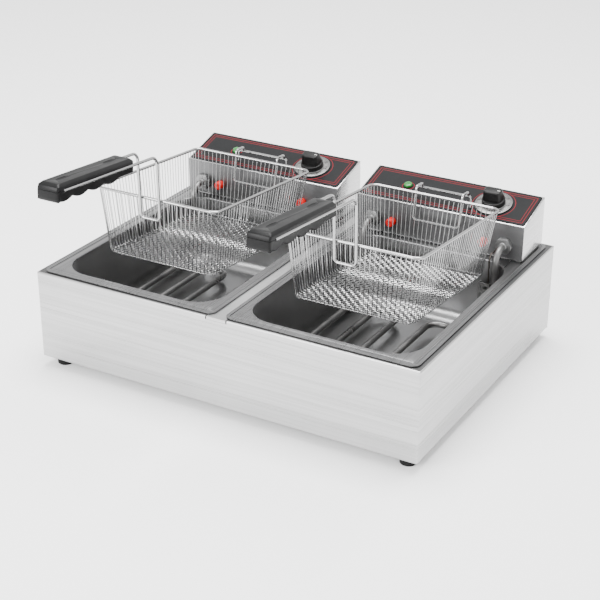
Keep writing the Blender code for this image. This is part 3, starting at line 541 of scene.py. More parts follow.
class Finishes:
    """Every finish of the fryer, made once."""

    def __init__(self) -> None:
        """Builds the shared finishes."""
        metals = (
            Metal("casing_steel", (0.58, 0.58, 0.58), 0.34, Grain.LEVEL, 0.10, 0.04, darken=0.34),
            # painted shade: a dark copy of the casing steel for the top lip under the flanges and
            # the rail notch
            Metal("casing_painted_shade", (0.10, 0.10, 0.10), 0.40, Grain.LEVEL, 0.10, 0.05),
            Metal("tank_steel", (0.20, 0.20, 0.202), 0.30, Grain.ALONG_Y, 0.05, 0.06),
            # painted shade: near-black steel for the groove of the flange's bead
            Metal("tank_bead_shade", (0.035, 0.035, 0.036), 0.45, Grain.NONE, 0.05, 0.10),
            Metal("well_steel", (0.29, 0.29, 0.292), 0.30, Grain.NONE, 0.015, 0.04, darken=0.05),
            Metal("head_steel", (0.62, 0.62, 0.62), 0.26, Grain.LEVEL, 0.10, 0.05, darken=0.3),
            # painted shade: the head's front face as a dark copy of the head steel
            Metal("head_front_painted_shade", (0.15, 0.15, 0.152), 0.40, Grain.LEVEL, 0.03, 0.03, darken=0.10),
            Metal(
                "element_steel", (0.20, 0.198, 0.195), 0.38, Grain.NONE, 0.10, 0.14, 0.00002, 0.3
            ),
            Metal("nut_steel", (0.25, 0.25, 0.25), 0.36, Grain.NONE, 0.06, 0.06, 0.00002, 0.12),
            Metal("wire_steel", (0.42, 0.42, 0.42), 0.16, Grain.NONE, 0.03, 0.03),
            Metal("probe_copper", (0.125, 0.112, 0.10), 0.42, Grain.NONE, 0.08, 0.10),
        )
        mouldings = (
            Moulding(
                "grip_plastic", (0.0028, 0.0028, 0.003), 0.40, (0.005, 0.005, 0.0052), specular=0.16
            ),
            Moulding(
                "knob_plastic", (0.0025, 0.0025, 0.0025), 0.34, (0.005, 0.005, 0.005), specular=0.25
            ),
            Moulding(
                "buffer_rubber", (0.55, 0.002, 0.002), 0.50, (0.65, 0.006, 0.005), specular=0.3
            ),
            Moulding(
                "foot_rubber", (0.003, 0.003, 0.003), 0.75, (0.008, 0.008, 0.008), specular=0.25
            ),
            Moulding("ceramic", (0.54, 0.51, 0.45), 0.55, (0.60, 0.57, 0.52)),
            Moulding("dial_ink", (0.004, 0.004, 0.004), 0.50, (0.006, 0.006, 0.006)),
            Moulding("pointer_paint", (0.55, 0.55, 0.53), 0.45, (0.60, 0.60, 0.58)),
        )
        self.made: dict[str, bpy.types.Material] = {}
        for finish in (*metals, *mouldings, Lens()):
            self.made[finish.name] = finish.build()

    def get(self, name: str) -> bpy.types.Material:
        """A finish by its name."""
        return self.made[name]


# modelling bench ----------------------------------------------------------------------------


class Bench:
    """Blender's own modelling operators, run as by hand on one object at a time."""

    @staticmethod
    def clear() -> None:
        """Deselects everything."""
        if bpy.context.object and bpy.context.object.mode != "OBJECT":
            bpy.ops.object.mode_set(mode="OBJECT")
        bpy.ops.object.select_all(action="DESELECT")

    @staticmethod
    def hold(*objects: bpy.types.Object) -> None:
        """Selects only these objects and makes the first one active.

        Args:
            objects: the objects to select.
        """
        Bench.clear()
        for obj in objects:
            obj.select_set(True)
        bpy.context.view_layer.objects.active = objects[0]

    @staticmethod
    def settle(obj: bpy.types.Object) -> bpy.types.Object:
        """Applies location, rotation and scale to the mesh.

        Args:
            obj: the object to settle.

        Returns:
            The same object.
        """
        Bench.hold(obj)
        bpy.ops.object.transform_apply(location=True, rotation=True, scale=True)
        return obj

    @staticmethod
    def name(label: str) -> bpy.types.Object:
        """Names the new active object and settles it.

        Args:
            label: its name.

        Returns:
            The object.
        """
        obj = bpy.context.active_object
        obj.name = label
        obj.data.name = label
        return Bench.settle(obj)

    @staticmethod
    def box(label: str, low: Point, high: Point) -> bpy.types.Object:
        """A cube primitive stretched between two corners.

        Args:
            label: the object's name.
            low: its lowest corner.
            high: its highest corner.

        Returns:
            The new object.
        """
        Bench.clear()
        centre = [(a + b) / 2 for a, b in zip(low, high)]
        size = [b - a for a, b in zip(low, high)]
        bpy.ops.mesh.primitive_cube_add(size=1.0, location=centre, scale=size)
        return Bench.name(label)

    @staticmethod
    def sheet(label: str, low: Point, high: Point, level: float) -> bpy.types.Object:
        """A level plane primitive stretched between two corners.

        Args:
            label: the object's name.
            low: its lowest corner; only X and Y count.
            high: its highest corner; only X and Y count.
            level: its height.

        Returns:
            The new object.
        """
        Bench.clear()
        centre = ((low[0] + high[0]) / 2, (low[1] + high[1]) / 2, level)
        bpy.ops.mesh.primitive_plane_add(size=1.0, location=centre)
        bpy.context.active_object.scale = (high[0] - low[0], high[1] - low[1], 1.0)
        return Bench.name(label)

    @staticmethod
    def disc(
        label: str, radius: float, low: float, high: float, sides: int = 48
    ) -> bpy.types.Object:
        """A cylinder primitive on the Z axis between two levels.

        Args:
            label: the object's name.
            radius: its radius.
            low: its lower level.
            high: its upper level.
            sides: how many sides it has.

        Returns:
            The new object.
        """
        Bench.clear()
        bpy.ops.mesh.primitive_cylinder_add(
            vertices=sides, radius=radius, depth=high - low, location=(0, 0, (low + high) / 2)
        )
        return Bench.name(label)

    @staticmethod
    def pick(obj: bpy.types.Object, mode: str, test: Test) -> int:
        """Goes into edit mode with the elements selected that pass a test.

        Args:
            obj: the object to edit.
            mode: VERT, EDGE or FACE.
            test: says of each element whether it is selected.

        Returns:
            How many elements are selected.
        """
        Bench.hold(obj)
        bpy.ops.object.mode_set(mode="EDIT")
        bpy.ops.mesh.select_all(action="DESELECT")
        bpy.ops.mesh.select_mode(type=mode)
        edit = bmesh.from_edit_mesh(obj.data)
        edit.normal_update()
        group = {"VERT": edit.verts, "EDGE": edit.edges, "FACE": edit.faces}[mode]
        for element in group:
            if test(element):
                element.select_set(True)
        edit.select_flush_mode()
        bmesh.update_edit_mesh(obj.data)
        return sum(1 for element in group if element.select)

    @staticmethod
    def out(obj: bpy.types.Object) -> bpy.types.Object:
        """Leaves edit mode."""
        bpy.ops.object.mode_set(mode="OBJECT")
        return obj

    @staticmethod
    def edit(
        obj: bpy.types.Object, mode: str, test: Test, operator: Callable[..., Any], **settings: Any
    ) -> bpy.types.Object:
        """Runs one operator on the elements that pass a test.

        Args:
            obj: the object to edit.
            mode: VERT, EDGE or FACE.
            test: picks the elements.
            operator: the operator, left out when nothing is picked.
            settings: the operator's settings.

        Returns:
            The same object.
        """
        if Bench.pick(obj, mode, test):
            operator(**settings)
        return Bench.out(obj)

    @staticmethod
    def round_edges(
        obj: bpy.types.Object, test: Test, width: float, segments: int = 3
    ) -> bpy.types.Object:
        """Bevels the edges that pass a test."""
        settings = {"offset": width, "segments": segments, "affect": "EDGES", "profile": 0.5}
        return Bench.edit(obj, "EDGE", test, bpy.ops.mesh.bevel, **settings)

    @staticmethod
    def round_corners(
        obj: bpy.types.Object, radius: float, segments: int = 10
    ) -> bpy.types.Object:
        """Rounds the corners of a flat sheet."""
        settings = {"offset": radius, "segments": segments, "affect": "VERTICES", "profile": 0.5}
        return Bench.edit(obj, "VERT", everything, bpy.ops.mesh.bevel, **settings)

    @staticmethod
    def open_up(obj: bpy.types.Object, test: Test) -> bpy.types.Object:
        """Deletes the faces that pass a test."""
        return Bench.edit(obj, "FACE", test, bpy.ops.mesh.delete, type="ONLY_FACE")

    @staticmethod
    def shift(obj: bpy.types.Object, test: Test, move: Point) -> bpy.types.Object:
        """Moves the vertices that pass a test."""
        return Bench.edit(obj, "VERT", test, bpy.ops.transform.translate, value=move)

    @staticmethod
    def turn_out(obj: bpy.types.Object) -> bpy.types.Object:
        """Makes all faces look outwards."""
        operator = bpy.ops.mesh.normals_make_consistent
        return Bench.edit(obj, "FACE", everything, operator, inside=False)

    @staticmethod
    def steps(obj: bpy.types.Object, test: Test, insets: Iterable[Point]) -> bpy.types.Object:
        """Insets a face again and again, each time by a width and a depth.

        Args:
            obj: the object to edit.
            test: picks the face to start from.
            insets: (width, depth) of each step; a negative depth sinks the face.

        Returns:
            The same object.
        """
        Bench.pick(obj, "FACE", test)
        for width, depth in insets:
            bpy.ops.mesh.inset(thickness=width, depth=depth)
        return Bench.out(obj)

    @staticmethod
    def modify(obj: bpy.types.Object, kind: str, **settings: Any) -> bpy.types.Object:
        """Adds a modifier and applies it.

        Args:
            obj: the object to change.
            kind: the modifier's type.
            settings: its properties.

        Returns:
            The same object.
        """
        modifier = obj.modifiers.new(kind.title(), kind)
        for name, value in settings.items():
            setattr(modifier, name, value)
        Bench.hold(obj)
        bpy.ops.object.modifier_apply(modifier=modifier.name)
        return obj

    @staticmethod
    def cut(
        obj: bpy.types.Object, tool: bpy.types.Object, operation: str = "DIFFERENCE"
    ) -> bpy.types.Object:
        """Cuts or joins with another object, which is used up.

        Args:
            obj: the object to change.
            tool: the other object.
            operation: DIFFERENCE, UNION or INTERSECT.

        Returns:
            The changed object.
        """
        Bench.modify(obj, "BOOLEAN", object=tool, operation=operation, solver="EXACT")
        bpy.data.objects.remove(tool, do_unlink=True)
        return obj

    @staticmethod
    def join(first: bpy.types.Object, *others: bpy.types.Object) -> bpy.types.Object:
        """Joins objects into the first one.

        Args:
            first: the object that stays.
            others: the objects that go into it.

        Returns:
            The first object.
        """
        Bench.hold(first, *others)
        bpy.ops.object.join()
        return first

    @staticmethod
    def soften(obj: bpy.types.Object) -> bpy.types.Object:
        """Smooth shading with sharp creases kept.

        Args:
            obj: the object to shade.

        Returns:
            The same object.
        """
        Bench.hold(obj)
        bpy.ops.object.shade_smooth_by_angle(angle=SMOOTH_ANGLE)
        return obj

    @staticmethod
    def put(obj: bpy.types.Object, place: Matrix) -> bpy.types.Object:
        """Moves the mesh itself to its place."""
        obj.data.transform(place)
        return obj

    @staticmethod
    def flat_map(obj: bpy.types.Object, layer: str) -> bpy.types.Object:
        """Stores each corner's own X and Y, in metres, as a UV layer.

        Args:
            obj: the object to map.
            layer: the layer's name.

        Returns:
            The same object.
        """
        uv = obj.data.uv_layers.new(name=layer)
        for loop in obj.data.loops:
            co = obj.data.vertices[loop.vertex_index].co
            uv.data[loop.index].uv = (co.x, co.y)
        return obj

    @staticmethod
    def wires(
        label: str,
        paths: Sequence[Sequence[Vector]],
        radius: float,
        sides: int = 3,
        closed: bool = False,
    ) -> bpy.types.Object:
        """Round wires along paths, as one mesh.

        Args:
            label: the piece's name.
            paths: the centre line of each wire.
            radius: the wire's radius.
            sides: a quarter of the number of sides, less one.
            closed: True joins each path's ends.

        Returns:
            The new object.
        """
        curve = bpy.data.curves.new(label, "CURVE")
        curve.dimensions = "3D"
        curve.bevel_depth = radius
        curve.bevel_resolution = sides
        curve.use_fill_caps = not closed
        for path in paths:
            spline = curve.splines.new("POLY")
            spline.points.add(len(path) - 1)
            spline.use_cyclic_u = closed
            for point, place in zip(spline.points, path):
                point.co = (*place, 1.0)
        obj = bpy.data.objects.new(label, curve)
        bpy.context.scene.collection.objects.link(obj)
        Bench.hold(obj)
        bpy.ops.object.convert(target="MESH")
        obj = bpy.context.active_object
        Bench.edit(obj, "VERT", everything, bpy.ops.mesh.remove_doubles, threshold=MERGE)
        return Bench.soften(Bench.turn_out(obj))


@dataclass
class Shop:
    """Hands every finished piece its finish, body and the nodes it stands for."""

    finishes: Finishes
    frame: dict[str, Any]

    def box(self, node: str) -> tuple[Vector, Vector]:
        """Lowest and highest corner of a CAD node."""
        low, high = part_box(node)
        return Vector(low), Vector(high)

    def middle(self, node: str) -> Vector:
        """Middle of a CAD node's box."""
        low, high = self.box(node)
        return (low + high) / 2

    def joint(self, name: str) -> dict[str, Any]:
        """One joint of the record."""
        joints = self.frame["record"]["behaviour"]["joints"]
        return next(joint for joint in joints if joint["name"] == name)

    def deliver(
        self,
        obj: bpy.types.Object,
        finish: Union[str, bpy.types.Material],
        body: str,
        slot: Optional[str] = None,
        nodes: Sequence[str] = (),
    ) -> bpy.types.Object:
        """Dresses a piece and puts it on its body.

        Args:
            obj: the finished piece, at its place.
            finish: the finish's name, or a material.
            body: the CAD body it moves with.
            slot: the record's material slot, if it has one; not used.
            nodes: the CAD nodes it stands for.

        Returns:
            The same piece.
        """
        material = self.finishes.get(finish) if isinstance(finish, str) else finish
        if not obj.data.materials:
            obj.data.materials.append(material)
        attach(obj, body)
        if nodes:
            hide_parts(*nodes)
        LOG.info("%s: %d faces on %s", obj.name, len(obj.data.polygons), body)
        return obj

    def paint(self, obj: bpy.types.Object, finishes: Sequence[str], choose: Callable) -> None:
        """Gives a piece several finishes.

        Args:
            obj: the piece.
            finishes: their names, in the order of their slots.
            choose: says for a face which of them it has.
        """
        for finish in finishes:
            obj.data.materials.append(self.finishes.get(finish))
        for face in obj.data.polygons:
            face.material_index = int(choose(face))

    def dress(self, node: str, finish: str) -> None:
        """Gives a kept CAD node its finish; the shape stays as it is.

        Args:
            node: the node's name.
            finish: the finish's name.
        """
        obj = self.frame["nodes"][node]
        obj.data.materials.clear()
        obj.data.materials.append(self.finishes.get(finish))
        LOG.info("%s kept from the frame as %s", node, finish)


def bent(
    corners: Sequence[Point], radius: Union[float, Sequence[float]], steps: int = 8
) -> list[Vector]:
    """A path whose inner corners are arcs.

    Args:
        corners: the path's corners.
        radius: the bend radius, or one for each inner corner.
        steps: pieces in each arc.

    Returns:
        The path's points.
    """
    points = [Vector(corner) for corner in corners]
    path = [points[0]]
    for index in range(1, len(points) - 1):
        size = radius[index - 1] if isinstance(radius, (list, tuple)) else radius
        corner = points[index]
        before = (points[index - 1] - corner).normalized()
        after = (points[index + 1] - corner).normalized()
        half = before.angle(after) / 2
        reach = size / math.tan(half)
        centre = corner + (before + after).normalized() * (size / math.sin(half))
        start = corner + before * reach - centre
        end = corner + after * reach - centre
        for step in range(steps + 1):
            share = step / steps
            path.append(centre + start.slerp(end, share) * size)
    path.append(points[-1])
    return path


def rounded_ring(
    half_x: float, half_y: float, radius: float, level: float, steps: int = 8
) -> list[Vector]:
    """Points round a rectangle with round corners.

    Args:
        half_x: half its width.
        half_y: half its length.
        radius: its corner radius.
        level: its height.
        steps: pieces in each corner.

    Returns:
        The closed path's points.
    """
    ring = []
    for quarter, (sx, sy) in enumerate(((1, -1), (1, 1), (-1, 1), (-1, -1))):
        for step in range(steps + 1):
            angle = math.radians(90 * (quarter - 1) + 90 * step / steps)
            x = sx * (half_x - radius) + radius * math.cos(angle)
            y = sy * (half_y - radius) + radius * math.sin(angle)
            ring.append(Vector((x, y, level)))
    return ring


# casing -------------------------------------------------------------------------------------


@dataclass
class Casing:
    """Folded sheet casing with the rail between the tanks and four rubber feet."""

    shop: Shop
    sheet: float = 0.0012
    lip: float = 0.012
    fold: float = 0.0016
    notch_half: float = 0.0156
    notch_depth: float = 0.0043
    foot_round: float = 0.002
    foot_gap: float = 0.0003
    foot_dish: tuple[tuple[float, float], ...] = ((0.0025, 0.0), (0.0005, -0.0006))

    def build(self) -> None:
        """Makes and dresses the casing's pieces."""
        self.build_shell()
        for node in ("casing_back", "casing_base", "centre_rail"):
            self.shop.dress(node, "casing_steel")
        for node in ("foot_front_left", "foot_front_right", "foot_rear_left", "foot_rear_right"):
            self.build_foot(node)

    def build_shell(self) -> None:
        """Front and side walls with their folded lips."""
        low, high = self.shop.box("casing_body")
        shell = Bench.box("casing_shell", low, high)
        for up, level in ((1, high.z), (-1, low.z)):
            Bench.steps(shell, lambda face: face.normal.z * up > LEVEL, [(self.lip, 0.0)])
            inner = lambda face: abs(face.calc_center_median().z - level) < MERGE and (
                face.calc_center_median().y > high.y - self.lip
                or all(abs(vert.co.x) < high.x - self.lip / 2 for vert in face.verts)
            )
            Bench.open_up(shell, inner)
        Bench.open_up(shell, lambda face: face.normal.y > LEVEL)
        loose = lambda element: not element.link_faces
        for mode in ("VERT", "EDGE"):
            Bench.edit(shell, mode, loose, bpy.ops.mesh.delete, type=mode)
        rear = high.y - self.lip
        Bench.shift(shell, lambda vert: abs(vert.co.y - rear) < MERGE, (0, self.lip, 0))
        Bench.round_edges(shell, folded, self.fold)
        Bench.modify(shell, "SOLIDIFY", thickness=self.sheet, offset=-1.0, use_even_offset=True)
        notch_low = (-self.notch_half, low.y - self.lip, high.z - self.notch_depth)
        notch_high = (self.notch_half, low.y + 2 * self.lip, high.z + self.lip)
        Bench.cut(shell, Bench.box("rail_notch", notch_low, notch_high))

        def dark(face: Any) -> bool:
            """Passes the faces of the top lip and of the notch, which are painted dark as shade.

            Args:
                face: a face of the shell.

            Returns:
                True where the painted shade goes.
            """
            middle = face.center
            lip = face.normal.z > LEVEL and middle.z > high.z - 2 * MERGE
            notch = abs(middle.x) < self.notch_half + MERGE and middle.z > high.z - self.lip
            return lip or (notch and middle.y < low.y + self.lip)

        # painted shade: the lip and the notch get a dark copy of the casing steel
        self.shop.paint(shell, ("casing_steel", "casing_painted_shade"), dark)
        Bench.soften(shell)
        self.shop.deliver(shell, "casing_steel", "casing", "casing_steel", ["casing_body"])

    def build_foot(self, node: str) -> None:
        """A push-in foot with a rounded sole, its neck hidden in the base.

        Args:
            node: the foot's CAD node.
        """
        low, high = self.shop.box(node)
        centre = (low + high) / 2
        casing_low, _ = self.shop.box("casing_body")
        top = casing_low.z - self.foot_gap
        foot = Bench.disc(node + "_pad", (high.x - low.x) / 2, low.z, top)
        Bench.round_edges(foot, below(low.z + MERGE), self.foot_round)
        Bench.steps(foot, lambda face: face.normal.z < -0.9999, self.foot_dish)
        Bench.put(foot, Matrix.Translation((centre.x, centre.y, 0)))
        Bench.soften(foot)
        self.shop.deliver(foot, "foot_rubber", "casing", "foot_rubber", [node])


# tank ---------------------------------------------------------------------------------------


@dataclass
class Tank:
    """Lift-out tank: a flange with a pressed bead, and a deep well with large corners."""

    shop: Shop
    side: Side
    opening_half: float = 0.1185
    opening_front: float = 0.0145
    opening_length: float = 0.3115
    flange_radius: float = 0.010
    opening_radius: float = 0.042
    bead: tuple[tuple[float, float], ...] = (
        (0.0046, 0.0),
        (0.0005, -0.0005),
        (0.0003, 0.0),
        (0.0006, 0.0005),
        (0.0012, 0.0),
        (0.0006, -0.0003),
        (0.0006, 0.0),
        (0.0006, 0.0003),
    )
    # band in from the flange's outline where the bead's groove gets painted shade
    bead_shade_band: tuple[float, float] = (0.0046, 0.0054)
    roll: tuple[tuple[float, float], ...] = (
        (0.0005, -0.0001),
        (0.0005, -0.0004),
        (0.0003, -0.0006),
        (0.0002, -0.0009),
    )
    draft: float = 0.0025
    floor_round: float = 0.018
    floor_steps: int = 8
    sheet: float = 0.001
    edge: float = 0.0011
    large_face: float = 0.05
    outline: float = 0.004

    def wall_steps(self, depth: float) -> list[tuple[float, float]]:
        """Insets down the wall and round into the floor.

        Args:
            depth: from the flange to the floor.

        Returns:
            The (width, depth) steps.
        """
        rolled = sum(step[1] for step in self.roll)
        straight = depth + rolled - self.floor_round
        steps = [(self.draft, -straight)]
        count = self.floor_steps
        angles = [math.pi / 2 * index / count for index in range(count + 1)]
        for first, second in zip(angles, angles[1:]):
            width = self.floor_round * (math.cos(first) - math.cos(second))
            fall = self.floor_round * (math.sin(second) - math.sin(first))
            steps.append((width, -fall))
        return steps

    def build(self) -> None:
        """Makes the tank."""
        node = f"{self.side.value}_tank"
        low, high = self.shop.box(node)
        middle = (low.x + high.x) / 2
        tank = Bench.sheet(f"{node}_pressing", low, high, high.z)
        Bench.round_corners(tank, self.flange_radius)
        Bench.steps(tank, everything, self.bead)
        Bench.open_up(tank, lambda face: face.calc_area() > self.large_face)
        front = low.y + self.opening_front
        well_low = (middle - self.opening_half, front)
        well_high = (middle + self.opening_half, front + self.opening_length)
        well = Bench.sheet("well", well_low, well_high, high.z)
        Bench.round_corners(well, self.opening_radius)
        depth = high.z - low.z - self.sheet
        Bench.steps(well, everything, (*self.roll, *self.wall_steps(depth)))
        gap = self.outline
        inner = lambda edge: open_edge(edge) and all(
            low.x + gap < v.co.x < high.x - gap and low.y + gap < v.co.y < high.y - gap
            for v in edge.verts
        )
        Bench.join(tank, well)
        Bench.edit(tank, "EDGE", inner, bpy.ops.mesh.bridge_edge_loops)
        self.turn_down_edge(tank)
        Bench.modify(tank, "SOLIDIFY", thickness=self.sheet, offset=-1.0)

        def area(face: Any) -> int:
            """Says which part of the tank a face belongs to.

            Args:
                face: a face of the tank.

            Returns:
                0 on the flange, 1 in the well, 2 in the bead's groove, which is painted dark as
                shade.
            """
            at = face.center
            inside = min(at.x - low.x, high.x - at.x, at.y - low.y, high.y - at.y)
            if at.z < high.z - 2 * self.edge:
                return 1
            return 2 if self.bead_shade_band[0] < inside < self.bead_shade_band[1] and face.normal.z > 0 else 0

        self.shop.paint(tank, ("tank_steel", "well_steel", "tank_bead_shade"), area)
        self.shop.deliver(Bench.soften(tank), "tank_steel", node, "tank_steel", [node])

    def turn_down_edge(self, tank: bpy.types.Object) -> None:
        """Folds the flange's outline down onto the casing.

        Args:
            tank: the tank's piece.
        """
        move = {"value": (0, 0, -self.edge)}
        extrude = bpy.ops.mesh.extrude_edges_move
        Bench.edit(tank, "EDGE", open_edge, extrude, TRANSFORM_OT_translate=move)
        Bench.turn_out(tank)
        floor = min(tank.data.polygons, key=lambda face: face.center.z)
        if floor.normal.z < 0:
            Bench.edit(tank, "FACE", everything, bpy.ops.mesh.flip_normals)


# control head -------------------------------------------------------------------------------


@dataclass
class ControlHead:
    """Sloped control head with its printed panel, dial, knob, lamp, buffers and cable gland."""

    shop: Shop
    side: Side
    fall: float = 0.0196
    fold: float = 0.0010
    sheet: float = 0.001
    film_margin: float = 0.002
    film: float = 0.0006
    film_radius: float = 0.004
    gap: float = 0.0003
    lamp: tuple[float, float] = (-0.0630, 0.0370)
    lens_radius: float = 0.0059
    lens_levels: tuple[float, float] = (0.0004, 0.0042)
    lens_round: float = 0.0024
    collar_radius: float = 0.0062
    collar_height: float = 0.0008
    collar_round: float = 0.0002
    collar_step: tuple[tuple[float, float], ...] = ((0.0006, 0.0), (0.0001, -0.0003))
    buffer_round: float = 0.0022
    buffer_dish: tuple[tuple[float, float], ...] = ((0.0012, 0.0), (0.0006, -0.0004))
    label: str = field(init=False)
    body: str = field(init=False)

    def __post_init__(self) -> None:
        """Works out the panel's place from the head's box."""
        self.label = self.side.value
        self.body = f"{self.label}_head"
        self.low, self.high = self.shop.box(f"{self.label}_head_shell")
        run = self.high.y - self.low.y
        self.slope = math.atan2(self.fall, run)
        self.panel_length = math.hypot(self.fall, run)
        origin = Vector(((self.low.x + self.high.x) / 2, self.low.y, self.high.z - self.fall))
        self.panel = Matrix.Translation(origin) @ Matrix.Rotation(self.slope, 4, "X")
        pivot = Vector(self.shop.joint(f"{self.label}_knob_turn")["pos_m"])
        place = self.panel.inverted() @ pivot
        self.knob = (place.x, place.y)

    def build(self) -> None:
        """Makes and dresses the head's pieces."""
        self.build_shell()
        self.build_panel()
        Knob(self.shop, self.side, self.panel, self.knob, self.gap + self.film).build()
        self.build_lamp()
        self.build_buffers()
        kept = {
            "head_base": "head_steel",
            "thermostat_body": "ceramic",
            "pilot_body": "knob_plastic",
            "terminal_block": "ceramic",
            "cord_gland": "knob_plastic",
            "bulb_guard": "element_steel",
            "thermostat_probe": "probe_copper",
            "thermostat_shaft": "element_steel",
        }
        for node, finish in kept.items():
            self.shop.dress(f"{self.label}_{node}", finish)

    def build_shell(self) -> None:
        """The folded sheet cover, open below."""
        shell = Bench.box(f"{self.label}_head_cover", self.low, self.high)
        high, low = self.high.z - MERGE, self.low.z + MERGE
        front_top = lambda vert: vert.co.z > high and vert.co.y < self.low.y + MERGE
        Bench.shift(shell, front_top, (0, 0, -self.fall))
        not_lowest = lambda edge: any(vert.co.z > low for vert in edge.verts)
        Bench.round_edges(shell, not_lowest, self.fold)
        Bench.open_up(shell, lambda face: face.normal.z < -LEVEL)
        Bench.modify(shell, "SOLIDIFY", thickness=self.sheet, offset=-1.0, use_even_offset=True)
        # the front face gets painted shade, a darker copy of the head steel
        self.shop.paint(shell, ("head_steel", "head_front_painted_shade"), lambda face: face.normal.y < -0.8)
        nodes = [f"{self.label}_head_shell"]
        self.shop.deliver(Bench.soften(shell), "head_steel", self.body, "head_steel", nodes)

    def build_panel(self) -> None:
        """The printed film on the slope."""
        half = (self.high.x - self.low.x) / 2 - self.film_margin
        length = self.panel_length - 2 * self.film_margin
        corners = (-half, -length / 2), (half, length / 2)
        film = Bench.sheet(f"{self.label}_panel_film", *corners, 0.0)
        Bench.round_corners(film, self.film_radius, 5)
        move = {"value": (0, 0, self.film)}
        extrude = bpy.ops.mesh.extrude_region_move
        Bench.edit(film, "FACE", everything, extrude, TRANSFORM_OT_translate=move)
        Bench.turn_out(film)
        Bench.round_edges(film, above(self.film - MERGE), self.film / 3, 1)
        Bench.flat_map(film, "panel")
        middle = self.panel_length / 2
        Bench.put(film, self.panel @ Matrix.Translation((0, middle, self.gap)))
        marks = [(spot[0], spot[1] - middle) for spot in (self.knob, self.lamp)]
        printed = PanelPrint(2 * half, length, *marks, f"{self.label}_panel_print")
        nodes = [f"{self.label}_control_label"]
        self.shop.deliver(Bench.soften(film), printed.build(), self.body, "label_film", nodes)

    def build_lamp(self) -> None:
        """A faceted dome in a thin collar."""
        base = self.gap + self.film + self.gap
        place = self.panel @ Matrix.Translation((*self.lamp, 0))
        low, high = (base + level for level in self.lens_levels)
        lens = Bench.disc(f"{self.label}_lamp_dome", self.lens_radius, low, high, 32)
        Bench.round_edges(lens, above(high - MERGE), self.lens_round, 5)
        Bench.soften(Bench.put(lens, place))
        nodes = [f"{self.label}_pilot_lens"]
        self.shop.deliver(lens, "pilot_lens_green", self.body, "lens_green", nodes)
        top = base + self.collar_height
        collar = Bench.disc(f"{self.label}_lamp_collar", self.collar_radius, base, top, 40)
        Bench.steps(collar, facing_up, self.collar_step)
        Bench.round_edges(collar, above(top - MERGE), self.collar_round, 2)
        Bench.put(collar, place)
        self.shop.deliver(Bench.soften(collar), "knob_plastic", self.body, "black_plastic")

    def build_buffers(self) -> None:
        """Soft red stops on the front wall."""
        for index in (1, 2):
            node = f"{self.label}_buffer_{index}"
            low, high = self.shop.box(node)
            centre = (low + high) / 2
            reach = self.low.y - low.y
            stop = Bench.disc(node + "_stop", (high.x - low.x) / 2, self.gap, reach, 40)
            Bench.round_edges(stop, above(reach - MERGE), self.buffer_round, 4)
            Bench.steps(stop, facing_up, self.buffer_dish)
            turn = Matrix.Rotation(math.pi / 2, 4, "X")
            Bench.put(stop, Matrix.Translation((centre.x, self.low.y, centre.z)) @ turn)
            Bench.soften(stop)
            self.shop.deliver(stop, "buffer_rubber", self.body, "buffer_rubber", [node])


